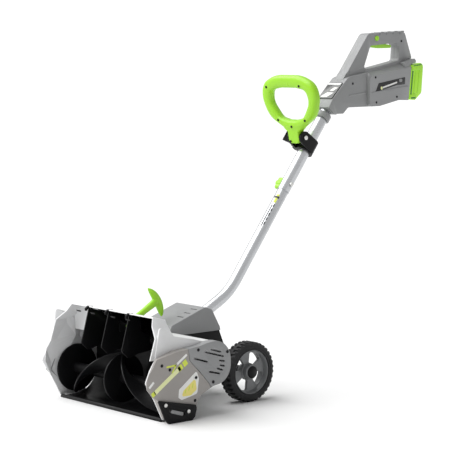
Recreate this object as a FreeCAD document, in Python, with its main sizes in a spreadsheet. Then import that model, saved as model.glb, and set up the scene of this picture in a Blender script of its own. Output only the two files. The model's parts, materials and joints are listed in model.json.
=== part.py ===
"""Cordless snow shovel: a battery-driven auger in a scoop, carried on two wheels by a bent tube.

Every outline below is drawn from the wheel axle: y = 0 is the axle, +Y runs back to the operator,
z = 0 is the ground and x = 0 is the middle of the machine.  Each finished sub-part is then moved by
the sheet's axle_y, so that the origin lies on the ground under the middle of the whole machine.
"""
import FreeCAD, Part
import math
import os
import Sketcher

V = FreeCAD.Vector
doc = FreeCAD.newDocument("SnowShovel")

# ---------------------------------------------------------------- driving dimensions (mm, degrees)
SIZES = [
    ("axle_y", -174.9), ("half_width", 204.0), ("panel_wall", 4.0), ("cover_depth", 24.0),
    ("shell_wall", 2.5), ("skid_wall", 5.0),
    ("auger_y", -280.0), ("auger_z", 73.0), ("auger_radius", 63.0), ("auger_gap", 5.0),
    ("core_radius", 13.0), ("shaft_radius", 8.0), ("flight_wall", 4.0), ("flight_length", 196.0),
    ("flight_pitch", 392.0), ("disc_radius", 61.0), ("disc_wall", 4.0),
    ("motor_y", -172.0), ("motor_z", 132.0), ("motor_radius", 33.0), ("motor_shaft", 4.0),
    ("auger_pulley_radius", 34.0), ("motor_pulley_radius", 12.0), ("belt_width", 12.0),
    ("belt_wall", 4.0), ("pulley_x", 212.0),
    ("wheel_radius", 76.0), ("wheel_width", 40.0), ("wheel_x", 144.0), ("axle_radius", 5.0),
    ("running_gap", 0.05), ("axle_half", 162.0),
    ("rim_radius", 57.0), ("hub_radius", 18.0), ("lug_count", 36.0), ("lug_depth", 4.0),
    ("tube_pitch", 53.3), ("lower_pitch", 28.0), ("joint_y", 252.0), ("joint_z", 508.4),
    ("lower_tube_radius", 15.0), ("upper_tube_radius", 16.2), ("tube_wall", 1.15),
    ("upper_tube_length", 296.0), ("lower_insert", 55.0), ("bend_radius", 178.0),
    ("joint_bolt_at", 23.3), ("joint_bolt_radius", 3.0),
    ("crown_half", 127.0), ("vane_pitch", 82.0), ("vane_wall", 3.0), ("vane_pivot_y", -318.0),
    ("grip_half", 16.5), ("body_half", 29.0), ("bay_half", 40.0),
    ("clamp_at", 145.6), ("clamp_length", 40.0), ("clamp_radius", 23.5), ("pivot_reach", 40.0),
    ("loop_lean", 11.0), ("loop_offset", 6.0), ("loop_half_depth", 13.0),
    ("battery_half", 40.0), ("cell_radius", 9.0), ("cell_length", 65.0), ("cell_pitch", 19.0),
    ("battery_pitch", 10.0), ("hump_half", 57.0), ("frame_half", 52.0), ("button_radius", 7.0),
    ("clamp_pin_radius", 2.5),
]

sheet = doc.addObject("Spreadsheet::Sheet", "Sizes")
for row, (alias, number) in enumerate(SIZES, start=1):
    sheet.set(f"A{row}", alias)
    sheet.set(f"B{row}", str(number))
    sheet.setAlias(f"B{row}", alias)
doc.recompute()


def size(alias):
    """The number in the sheet's cell of that alias."""
    return float(sheet.get(alias))


def cells(text):
    """An expression written with bare aliases, such as 'half_width + panel_wall', for setExpression."""
    for alias in sorted((name for name, _ in SIZES), key=len, reverse=True):
        text = text.replace(alias, "@" + str([n for n, _ in SIZES].index(alias)) + "@")
    for index, entry in enumerate(SIZES):
        text = text.replace("@" + str(index) + "@", "Sizes." + entry[0])
    return text


# ---------------------------------------------------------------- places and planes
PLANES = {
    "YZ": (FreeCAD.Rotation(V(1, 1, 1), 120), V(1, 0, 0), "x"),
    "XZ": (FreeCAD.Rotation(V(1, 0, 0), 90), V(0, 1, 0), "y"),
    "XY": (FreeCAD.Rotation(), V(0, 0, 1), "z"),
}
AXIS_TURN = {
    "X": FreeCAD.Rotation(V(0, 1, 0), 90),
    "Z": FreeCAD.Rotation(),
}
nodes = []
placed = {}


def locate(obj, rotation=None, **where):
    """Set an object's rotation, and bind the coordinates given as sheet expressions."""
    if rotation is not None:
        obj.Placement = FreeCAD.Placement(V(0, 0, 0), rotation)
    for letter, text in where.items():
        placed.setdefault(obj.Name, {})[letter] = str(text)
        obj.setExpression("Placement.Base." + letter, cells(str(text)))
    return obj


def node(obj, label):
    """Name a finished sub-part, and carry it from the axle's frame to the machine's own frame."""
    obj.Label = label
    old = placed.get(obj.Name, {}).get("y", "0")
    locate(obj, y=f"{old} + axle_y")
    nodes.append(obj)
    return obj


def along_tube(distance, front="0"):
    """Expressions of a point on the upper tube's axis, or in front of it, that far up from the joint."""
    return {
        "y": f"joint_y + ({distance}) * cos(tube_pitch) - ({front}) * sin(tube_pitch)",
        "z": f"joint_z + ({distance}) * sin(tube_pitch) + ({front}) * cos(tube_pitch)",
    }


TUBE_TURN = FreeCAD.Rotation(V(1, 0, 0), size("tube_pitch") - 90.0)
LOOP_TURN = FreeCAD.Rotation(V(1, 0, 0), size("loop_lean"))


# ---------------------------------------------------------------- outlines
def corner_geometry(corners):
    """Lines and tangent arcs of a closed outline; a corner is (u, v) or (u, v, radius)."""
    count = len(corners)
    points = [V(c[0], c[1], 0) for c in corners]
    radii = [c[2] if len(c) > 2 else 0.0 for c in corners]
    starts, ends, arcs = [], [], []
    for i in range(count):
        before = (points[i - 1] - points[i]).normalize()
        after = (points[(i + 1) % count] - points[i]).normalize()
        half = before.getAngle(after) / 2.0
        if radii[i] <= 0 or half > math.radians(89.5):
            starts.append(points[i])
            ends.append(points[i])
            arcs.append(None)
            continue
        reach = radii[i] / math.tan(half)
        middle_way = (before + after).normalize()
        middle = points[i] + middle_way * (radii[i] / math.sin(half) - radii[i])
        starts.append(points[i] + before * reach)
        ends.append(points[i] + after * reach)
        arcs.append(Part.Arc(points[i] + before * reach, middle, points[i] + after * reach))
    geometry = []
    for i in range(count):
        if arcs[i]:
            geometry.append(arcs[i])
        if (starts[(i + 1) % count] - ends[i]).Length > 1e-6:
            geometry.append(Part.LineSegment(ends[i], starts[(i + 1) % count]))
    return geometry


def inset(corners, gap):
    """The same outline moved inwards by gap (outwards when gap is negative)."""
    count = len(corners)
    area = sum(corners[i - 1][0] * corners[i][1] - corners[i][0] * corners[i - 1][1] for i in range(count))
    side = 1.0 if area > 0 else -1.0
    moved = []
    for i in range(count):
        a, b, c = corners[i - 1], corners[i], corners[(i + 1) % count]
        first = V(b[0] - a[0], b[1] - a[1], 0).normalize()
        second = V(c[0] - b[0], c[1] - b[1], 0).normalize()
        n1 = V(-first.y, first.x, 0) * side
        n2 = V(-second.y, second.x, 0) * side
        spread = 1.0 + n1.dot(n2)
        shift = (n1 + n2) * (gap / spread)
        turn = (first.x * second.y - first.y * second.x) * side
        radius = b[2] if len(b) > 2 else 0.0
        if radius:
            radius = max(radius - gap, 0.4) if turn > 0 else radius + gap
        moved.append((b[0] + shift.x, b[1] + shift.y, radius))
    return moved


def bar(first, last, width):
    """Corners of a round-ended bar or slot between two points."""
    way = V(last[0] - first[0], last[1] - first[1], 0).normalize()
    across = V(-way.y, way.x, 0) * (width / 2.0)
    tip = width * 0.499
    ends = [V(*first, 0) - way * tip, V(*last, 0) + way * tip]
    raw = [ends[0] - across, ends[1] - across, ends[1] + across, ends[0] + across]
    return [(p.x, p.y, tip * 0.98) for p in raw]


def mirror_x(corners):
    """An outline and its mirror image about u = 0, joined into one closed outline."""
    return list(corners) + [(-c[0],) + tuple(c[1:]) for c in reversed(corners)]


def fill_sketch(sketch, corners=(), holes=(), circles=()):
    """Draw an outline, inner outlines and circles (u, v, radius or alias) in a sketch."""
    for outline in [corners] + list(holes):
        if outline:
            sketch.addGeometry(corner_geometry(outline), False)
    for u, v, radius in circles:
        number = size(radius) if isinstance(radius, str) else radius
        index = sketch.addGeometry(Part.Circle(V(u, v, 0), V(0, 0, 1), number), False)
        if isinstance(radius, str):
            constraint = sketch.addConstraint(Sketcher.Constraint("Radius", index, number))
            sketch.setExpression(f"Constraints[{constraint}]", cells(radius))
            sketch.addConstraint(Sketcher.Constraint("DistanceX", -1, 1, index, 3, u))
            sketch.addConstraint(Sketcher.Constraint("DistanceY", -1, 1, index, 3, v))
    return sketch


# ---------------------------------------------------------------- Part solids
def prism(name, plane, start, length, corners=(), holes=(), circles=()):
    """An outline on a plane, pushed out by length along the plane's axis from start."""
    rotation, way, letter = PLANES[plane]
    sketch = doc.addObject("Sketcher::SketchObject", name + "_sketch")
    locate(sketch, rotation, **{letter: start})
    fill_sketch(sketch, corners, holes, circles)
    solid = doc.addObject("Part::Extrusion", name)
    solid.Base = sketch
    solid.DirMode = "Custom"
    solid.Dir = way
    solid.Solid = True
    solid.setExpression("LengthFwd", cells(str(length)))
    return solid


def loft(name, first, first_x, second, second_x):
    """A closed solid between two outlines with the same number of straight sides, at two places along X."""
    rotation, letter = PLANES["YZ"][0], PLANES["YZ"][2]
    ends = []
    for word, corners, start in (("from", first, first_x), ("to", second, second_x)):
        sketch = doc.addObject("Sketcher::SketchObject", f"{name}_{word}")
        locate(sketch, rotation, **{letter: start})
        fill_sketch(sketch, [(c[0], c[1]) for c in corners])
        ends.append(sketch)
    solid = doc.addObject("Part::Loft", name)
    solid.Sections = ends
    solid.Solid = True
    solid.Ruled = True
    return solid


def cylinder(name, axis, radius, start, length, at):
    """A round bar along an axis; at holds the other two coordinates in X, Y, Z order."""
    solid = doc.addObject("Part::Cylinder", name)
    others = [letter for letter in "xyz" if letter != axis.lower()]
    locate(solid, AXIS_TURN[axis], **{axis.lower(): start, others[0]: at[0], others[1]: at[1]})
    solid.setExpression("Radius", cells(str(radius)))
    solid.setExpression("Height", cells(str(length)))
    return solid


def tube_cylinder(name, radius, distance, length):
    """A round bar on the upper tube's axis."""
    solid = doc.addObject("Part::Cylinder", name)
    locate(solid, TUBE_TURN, **along_tube(distance))
    solid.setExpression("Radius", cells(str(radius)))
    solid.setExpression("Height", cells(str(length)))
    return solid


def fuse(name, *parts):
    solid = doc.addObject("Part::MultiFuse", name)
    solid.Shapes = list(parts)
    return solid


def group(name, parts):
    """Separate solids that share one node."""
    solid = doc.addObject("Part::Compound", name)
    solid.Links = list(parts)
    return solid


def cut(name, base, *tools):
    solid = doc.addObject("Part::Cut", name)
    solid.Base = base
    solid.Tool = tools[0] if len(tools) == 1 else fuse(name + "_tools", *tools)
    return solid


def common(name, *parts):
    solid = doc.addObject("Part::MultiCommon", name)
    solid.Shapes = list(parts)
    return solid


def screw(name, axis, outward, face, at, head=(4.0, 1.2), shank=(1.8, 10.0)):
    """A pan-head screw: its head stands on the face, its shank goes the other way."""
    head_start = f"{face}" if outward > 0 else f"{face} - {head[1]}"
    shank_start = f"{face} - {shank[1]}" if outward > 0 else f"{face}"
    return fuse(name,
                cylinder(name + "_head", axis, head[0], head_start, head[1], at),
                cylinder(name + "_shank", axis, shank[0], shank_start, shank[1], at))


# ---------------------------------------------------------------- PartDesign solids
def new_body(name):
    return doc.addObject("PartDesign::Body", name)


def body_sketch(body, name, plane, corners=(), holes=(), circles=(), offset=None):
    """A sketch on one of the body's own origin planes."""
    role = plane + "_Plane"
    support = [feature for feature in body.Origin.OriginFeatures if feature.Role == role][0]
    sketch = body.newObject("Sketcher::SketchObject", name)
    sketch.AttachmentSupport = [(support, "")]
    sketch.MapMode = "FlatFace"
    if offset is not None:
        sketch.setExpression("AttachmentOffset.Base.z", cells(str(offset)))
    return fill_sketch(sketch, corners, holes, circles)


def pad(body, sketch, length, both=False, back=False):
    feature = body.newObject("PartDesign::Pad", sketch.Name + "_pad")
    feature.Profile = sketch
    feature.setExpression("Length", cells(str(length)))
    feature.Midplane = both
    feature.Reversed = back
    return feature


def remove(body, kind, sketch, **settings):
    """A Pocket or Groove that has to take material away."""
    doc.recompute()
    before = body.Shape.Volume
    feature = body.newObject("PartDesign::" + kind, sketch.Name + "_cut")
    feature.Profile = sketch
    for name, value in settings.items():
        if isinstance(value, str) and name == "Length":
            feature.setExpression(name, cells(value))
        else:
            setattr(feature, name, value)
    doc.recompute()
    if before - body.Shape.Volume < 1.0:
        feature.Reversed = not feature.Reversed
        doc.recompute()
    if before - body.Shape.Volume < 1.0:
        raise RuntimeError(feature.Name + " removes nothing")
    return feature


def plate(label, x, thickness, corners, holes=(), circles=(), back=False):
    """A flat plate lying in a plane of constant x, from x towards +X (or -X when back)."""
    body = new_body(label)
    pad(body, body_sketch(body, label + "_outline", "YZ", corners, holes, circles), thickness, back=back)
    return node(locate(body, x=x), label)


def turned(label, profile, x, y, z):
    """A body of revolution about the X axis; the profile holds (x, radius) corners."""
    body = new_body(label)
    sketch = body_sketch(body, label + "_profile", "XZ", profile)
    feature = body.newObject("PartDesign::Revolution", label + "_turn")
    feature.Profile = sketch
    feature.ReferenceAxis = (sketch, ["H_Axis"])
    feature.Angle = 360.0
    locate(body, x=x, y=y, z=z)
    return body


def polar(body, feature, count, name):
    """Repeat a feature about the body's X axis."""
    pattern = body.newObject("PartDesign::PolarPattern", name)
    pattern.Originals = [feature]
    axis = [item for item in body.Origin.OriginFeatures if item.Role == "X_Axis"][0]
    pattern.Axis = (axis, [""])
    pattern.Angle = 360.0
    pattern.Occurrences = count
    body.Tip = pattern
    return pattern


# ---------------------------------------------------------------- shared outlines
# The side drive cover: a broad nose in front, a round end about the motor behind.
COVER = [(-358, 157, 4), (-299, 169, 8), (-227, 176, 8), (-196, 182, 10), (-130, 186, 50),
         (-130, 82, 46), (-186, 74, 8), (-227, 55, 8), (-238, 36, 4), (-252, 12, 4), (-335, 14, 6),
         (-356, 59, 4), (-373, 68.5, 4), (-390, 89.5, 6), (-394, 109, 6), (-388, 125, 4), (-379, 133, 4)]
COVER_SEAM = [(-299, 169), (-264, 172.4), (-259, 143), (-228, 113), (-197, 79), (-195, 70), (-227, 55),
              (-238, 36), (-252, 12)]
COVER_NOSE = [(-335, 14), (-356, 59), (-373, 68.5), (-389, 88), (-390, 106), (-383, 125), (-375, 133),
              (-360, 157)]
COVER_PASSAGE = [(-299, 169), (-240, 174.6), (-235, 143), (-204, 113), (-186, 82), (-184, 75), (-227, 55),
                 (-238, 36), (-252, 12)]
COVER_LIP = [(-326, 12), (-349, 57), (-358, 69), (-372.5, 90), (-372.5, 103), (-364, 121), (-359, 130),
             (-346, 154)]
COVER_REAR = [(-263, 172.5), (-227, 176, 8), (-196, 182, 10), (-130, 186, 50), (-130, 82, 46),
              (-186, 74, 8), (-194, 70.5), (-196, 79.6), (-227.3, 113.8, 3), (-258.2, 143.6, 3)]
LEFT_COVER = [(-312, 212, 8), (-341, 100, 8), (-354, 72, 6), (-334, 52, 4), (-312, 44, 6),
              (-294, 14, 6), (-252, 12, 4), (-238, 36, 4), (-227, 55, 8), (-186, 74, 8), (-130, 82, 46),
              (-130, 186, 50), (-196, 182, 10), (-227, 188, 8), (-286, 206, 8)]
PANEL = [(-323, 5), (-348, 55, 10), (-374, 98, 8), (-361, 127, 10), (-346, 150, 6), (-331, 227, 5),
         (-306, 219, 6), (-288, 203, 10), (-228, 190, 8), (-196, 180, 10), (-132, 184, 48),
         (-132, 84, 44), (-186, 72, 8), (-227, 53, 8), (-240, 34, 4), (-250, 5, 4)]
DECK = [(-216.5, 186), (-196, 181, 10), (-133, 183, 47), (-133, 85, 43), (-186, 73, 8), (-208.8, 62),
        (-208.8, 150)]
SKID = [(-359, 60, 3), (-243, 36, 3), (-241, 28, 6), (-246, 9, 6), (-255, 0, 8), (-327, 0, 10),
        (-338, 12, 6)]
SKID_HOLES = [(-338, 47), (-268, 24)]
LEFT_SKID = [(-322, 60, 3), (-232, 40, 3), (-228, 30, 6), (-232, 9, 6), (-240, 0, 8), (-288, 0, 10),
             (-299, 12, 6)]
LEFT_SKID_HOLES = [(-302, 48), (-250, 31)]
ARCH_SIDE = [(-357, 150), (-326, 248), (-290, 240), (-282, 172), (-279, 150)]
ARCH_ROOM = [(-385, 140), (-385, 257.9), (-292.7, 237.4), (-285.1, 172), (-282, 140)]
ARCH_FRONT = [(-204, 150), (-204, 202), (-182, 228), (-174, 254), (174, 254), (182, 228), (204, 202),
              (204, 150)]
ARCH_ROOM_FRONT = [(-201, 140), (-201, 200.9), (-179.3, 226.6), (-171.6, 258), (171.6, 258),
                   (179.3, 226.6), (201, 200.9), (201, 140)]
CROWN = [(-300, 150), (-300, 242.2), (-290, 240), (-222, 186), (-209.2, 150)]
CROWN_ROOM = [(-310, 140), (-310, 241.2), (-291.2, 237), (-224.5, 184.2), (-208, 140)]
SHELF = [(-290, 150), (-290, 176), (-217.2, 186), (-209.2, 150)]
SHELF_ROOM = [(-300, 140), (-300, 171.6), (-219.7, 182.6), (-212.3, 150), (-212, 140)]
HUMP = [(-182, 179), (-172, 198, 4), (-64, 235, 8), (-42, 227, 8), (-16, 181, 6), (-14, 172),
        (-150, 172)]
FRAME = [(-150, 172), (-14, 172), (-1, 141, 6), (16, 100, 10), (14, 60, 12), (-14, 58, 12),
         (-60, 84, 20), (-150, 96)]


# ---------------------------------------------------------------- scoop and body (chassis)
def make_scoop():
    gap = size("auger_gap")
    floor = size("auger_z") - size("auger_radius") - gap
    inner = size("auger_radius") + gap
    back = size("auger_y") + inner
    wall = 3.0
    housing = new_body("auger_housing")
    outline = [(-322, floor), (back, floor, inner), (back, 149.8), (back + wall, 149.8),
               (back + wall, floor - wall, inner + wall), (-322, floor - wall)]
    pad(housing, body_sketch(housing, "housing_section", "YZ", outline), "2 * half_width", both=True)
    node(housing, "auger_housing")

    node(make_hood(), "hood")

    auger_hole = (size("auger_y"), size("auger_z"), 16.0)
    plate("side_panel_right", "half_width", "panel_wall", PANEL,
          circles=[auger_hole, (size("motor_y"), size("motor_z"), 8.0)])
    plate("side_panel_left", "-half_width", "panel_wall", PANEL, circles=[auger_hole], back=True)

    scraper = new_body("scraper_bar")
    lip = [(-327, 0.6), (-296, 0.6), (-296, floor - wall), (-322, floor - wall), (-322, 9), (-324.5, 9),
           (-327, 3)]
    pad(scraper, body_sketch(scraper, "scraper_section", "YZ", lip), "2 * half_width", both=True)
    node(scraper, "scraper_bar")


def make_hood():
    """A shell of three parts: an arch round the mouth, a crown over the vanes and a shelf at each side."""
    def arch(name, side, front):
        return common(name, prism(name + "_side", "YZ", "-half_width", "2 * half_width", side),
                      prism(name + "_front", "XZ", "-400", "220", front))

    def slab(name, outline, half):
        return prism(name, "YZ", f"-({half})", f"2 * ({half})", outline)

    outer = fuse("hood_outer", arch("arch_outer", ARCH_SIDE, ARCH_FRONT),
                 slab("crown_outer", CROWN, "crown_half"), slab("shelf_outer", SHELF, "half_width"))
    room = fuse("hood_room", arch("arch_room", ARCH_ROOM, ARCH_ROOM_FRONT),
                slab("crown_room", CROWN_ROOM, "crown_half - 3"),
                slab("shelf_room", SHELF_ROOM, "half_width - 3"))
    lever_slot = prism("lever_slot", "XY", "190", "60", mirror_x([(-46, -238), (-46, -274, 8)]))
    pivots = [cylinder(f"vane_hole_{i}", "Z", "3.0 + running_gap", "225", 40,
                       (f"{i} * vane_pitch", "vane_pivot_y")) for i in (-1, 0, 1)]
    return cut("hood_shell", outer, room, lever_slot, *pivots)


def make_covers():
    """The drive cover on the right in two shells, one cover on the left, and the skids."""
    outer_face = "half_width + panel_wall + cover_depth"
    inner_face = "half_width + panel_wall"
    wall = size("shell_wall")

    def cavity(name, outline):
        return prism(name, "YZ", inner_face, "cover_depth - shell_wall", inset(outline, wall))

    face, lip = COVER_NOSE + COVER_SEAM, COVER_LIP + COVER_SEAM
    front = loft("cover_front_block", lip, inner_face, face, outer_face)
    space = loft("cover_front_space", inset(COVER_LIP + COVER_PASSAGE, wall), inner_face,
                 inset(COVER_NOSE + COVER_PASSAGE, wall), f"{outer_face} - shell_wall")
    node(cut("cover_front", front, space), "drive_cover_front")

    slots = [((-191, 163), (-163, 155)), ((-210, 159), (-154, 143)), ((-243, 147), (-205, 135)),
             ((-165, 134), (-151, 131)), ((-163, 122), (-151, 119)), ((-172, 115), (-157, 110)),
             ((-197, 110), (-166, 102))]
    vents = [prism(f"vent_{i}", "YZ", f"{outer_face} - 6", 12, bar(a, b, 4.0))
             for i, (a, b) in enumerate(slots)]
    node(cut("cover_rear", prism("cover_rear_block", "YZ", inner_face, "cover_depth", COVER_REAR),
             cavity("cover_rear_space", COVER), *vents), "drive_cover_rear")

    left = cut("cover_left", prism("cover_left_block", "YZ", f"-({outer_face})", "cover_depth", LEFT_COVER),
               prism("cover_left_space", "YZ", f"-({outer_face}) + shell_wall",
                     "cover_depth - shell_wall", inset(LEFT_COVER, wall)))
    node(left, "end_cover_left")

    def bolt_holes(spots):
        return [(y, z, 3.2) for y, z in spots]

    plate("skid_right", outer_face, "skid_wall", SKID, [bar((-320, 30), (-283, 19), 9.0)],
          bolt_holes(SKID_HOLES))
    plate("skid_left", f"-({outer_face})", "skid_wall", LEFT_SKID, [bar((-286, 28), (-268, 22), 8.0)],
          bolt_holes(LEFT_SKID_HOLES), back=True)
    bolts = []
    for side, spots in ((1, SKID_HOLES), (-1, LEFT_SKID_HOLES)):
        face = f"{side} * ({outer_face} + skid_wall)"
        for i, at in enumerate(spots):
            bolts.append(screw(f"skid_bolt_{i}_{'r' if side > 0 else 'l'}", "X", side, face, at,
                               head=(6.5, 3.0), shank=(3.1, 14.0)))
    node(group("skid_bolt_group", bolts), "skid_bolts")

    right_spots = [(-232.5, 167), (-320, 129), (-240, 101), (-186, 84), (-243, 46), (-141, 153), (-344, 141)]
    left_spots = [(-232.5, 178), (-320, 129), (-240, 101), (-186, 84), (-243, 50), (-141, 153)]
    screws = [screw(f"cover_screw_r{i}", "X", 1, outer_face, at) for i, at in enumerate(right_spots)]
    screws += [screw(f"cover_screw_l{i}", "X", -1, f"-({outer_face})", at) for i, at in enumerate(left_spots)]
    node(group("cover_screw_group", screws), "cover_screws")


def make_body():
    """The deck behind the scoop, the hump over the tube's foot, and the frame that holds the axle."""
    deck_outer = prism("deck_block", "YZ", "-half_width", "2 * half_width", DECK)
    space = inset(DECK, size("shell_wall"))[:-1]
    space[0] = (-230, space[0][1])
    space[-1] = (-230, space[-1][1])
    deck_inner = prism("deck_space", "YZ", "-half_width - 1", "2 * half_width + 2", space)
    foot_hole = prism("deck_foot_hole", "XZ", "-190", "70", mirror_x([(-40, 172), (-40, 200)]))
    node(cut("deck_shell", deck_outer, deck_inner, foot_hole), "body_deck")

    hump_outer = prism("hump_block", "YZ", "-hump_half", "2 * hump_half", HUMP)
    space = inset(HUMP, size("shell_wall"))
    space[-2:] = [(space[-2][0], 160), (-190, 160)]
    hump_inner = prism("hump_space", "YZ", "-hump_half + shell_wall", "2 * (hump_half - shell_wall)", space)
    deck_hollow = prism("deck_hollow", "YZ", -60, 120, DECK)
    tube_hole = doc.addObject("Part::Cylinder", "hump_tube_hole")
    locate(tube_hole, FreeCAD.Rotation(V(1, 0, 0), size("lower_pitch") - 90.0), y="-90", z="173.8")
    tube_hole.setExpression("Radius", cells("lower_tube_radius + 0.6"))
    tube_hole.Height = 140
    vent_width, vent_pitch = 4.5, 22
    vents = []
    for i in range(3):
        front = -128 + vent_pitch * i
        back = front + vent_width
        vents.append(prism(f"hump_vent_{i}", "XY", 190, 60,
                           [(22, front, 1.5), (46, front, 1.5), (46, back, 1.5), (22, back, 1.5)]))
    node(cut("hump_shell", hump_outer, hump_inner, deck_hollow, tube_hole, *vents), "motor_hump")

    frame_wall = 4
    block = prism("frame_block", "YZ", "-frame_half", "2 * frame_half", FRAME)
    space = inset(FRAME, frame_wall)
    space[:2] = [(-160, 180), (-20, 180)]
    space[-1] = (-160, space[-1][1])
    pocket = prism("frame_pocket", "YZ", f"-frame_half + {frame_wall}", f"2 * (frame_half - {frame_wall})",
                   space)
    sleeve = cylinder("frame_sleeve", "X", 11, -122, 244, (0, "wheel_radius"))
    bore = cylinder("frame_bore", "X", "axle_radius", -130, 260, (0, "wheel_radius"))
    hollow = cut("frame_hollow", block, pocket)
    outer_deck = prism("frame_deck_gap", "YZ", "-frame_half - 5", "2 * frame_half + 10", DECK)
    node(cut("frame_whole", fuse("frame_solid", hollow, sleeve), bore, outer_deck), "under_frame")

    turn = FreeCAD.Rotation(V(1, 0, 0), size("lower_pitch") - 90.0)
    saddle = doc.addObject("Part::Cylinder", "socket_block")
    locate(saddle, turn, y="-96", z="170.6")
    saddle.Radius = 19
    saddle.Height = 40
    hole = doc.addObject("Part::Cylinder", "socket_hole")
    locate(hole, turn, y="-104", z="166.4")
    hole.setExpression("Radius", cells("lower_tube_radius"))
    hole.Height = 60
    node(cut("socket_ring", saddle, hole), "tube_socket")

    plate("control_board", f"frame_half - {frame_wall}", 1.6,
          [(-118, 112, 3), (-118, 162, 3), (-40, 162, 3), (-40, 112, 3)], back=True)

    axle = cylinder("axle_rod", "X", "axle_radius", "-axle_half", "2 * axle_half", (0, "wheel_radius"))
    node(axle, "wheel_axle")


# ---------------------------------------------------------------- auger and drive
def make_auger():
    reach = size("flight_length")
    spine = doc.addObject("Part::Helix", "flight_helix")
    spine.setExpression("Pitch", cells("flight_pitch"))
    spine.setExpression("Height", cells("flight_length"))
    spine.setExpression("Radius", cells("core_radius"))
    section = doc.addObject("Sketcher::SketchObject", "flight_section")
    section.Placement = FreeCAD.Placement(V(0, 0, 0), FreeCAD.Rotation(V(1, 0, 0), 90))
    half = size("flight_wall") / 2.0
    root, tip = size("core_radius") - 2.0, size("auger_radius")
    fill_sketch(section, [(root, -half), (tip, -half), (tip, half), (root, half)])
    blade = doc.addObject("Part::Sweep", "flight_blade")
    blade.Sections = [section]
    blade.Spine = (spine, ["Edge1"])
    blade.Solid = True
    blade.Frenet = True
    doc.recompute()

    def flight(mirrored):
        """One half turn from the foot of an end disc to the top of the middle one; its twin is mirrored."""
        shape = blade.Shape.mirror(V(0, 0, 0), V(0, 1, 0))
        shape.rotate(V(0, 0, 0), V(0, 1, 0), 90)
        shape.translate(V(-reach, 0, 0))
        return shape.mirror(V(0, 0, 0), V(1, 0, 0)) if mirrored else shape

    wall = size("disc_wall")
    discs = [Part.makeCylinder(size("disc_radius"), wall, V(x - wall / 2, 0, 0), V(1, 0, 0))
             for x in (-reach, 0, reach)]
    core = Part.makeCylinder(size("core_radius"), 2 * reach, V(-reach, 0, 0), V(1, 0, 0))
    bore = Part.makeCylinder(size("shaft_radius"), 2 * reach + 10, V(-reach - 5, 0, 0), V(1, 0, 0))
    moulding = core.fuse([flight(False), flight(True)] + discs).cut(bore)
    flights = doc.addObject("Part::Feature", "auger_spiral")
    flights.Shape = moulding
    node(locate(flights, y="auger_y", z="auger_z"), "auger_flights")

    shaft = cylinder("auger_shaft_rod", "X", "shaft_radius", "-222", "448", ("auger_y", "auger_z"))
    node(shaft, "auger_shaft")
    bearings = []
    for side in (1, -1):
        start = "half_width - 0.5" if side > 0 else "-half_width - 4.5"
        ring = cut(f"bearing_{side + 1}",
                   cylinder(f"bearing_outer_{side + 1}", "X", 16, start, 5, ("auger_y", "auger_z")),
                   cylinder(f"bearing_bore_{side + 1}", "X", "shaft_radius + running_gap", f"{start} - 1", 7,
                            ("auger_y", "auger_z")))
        bearings.append(ring)
    node(group("bearing_group", bearings), "auger_bearings")


def pulley_profile(radius, bore, width):
    """Half section of a grooved belt pulley, as (x, radius) corners."""
    rim = radius + 3.0
    return [(0, bore), (0, rim), (1.5, rim), (2, radius), (width, radius), (width + 0.5, rim),
            (width + 2, rim), (width + 2, bore)]


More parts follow.
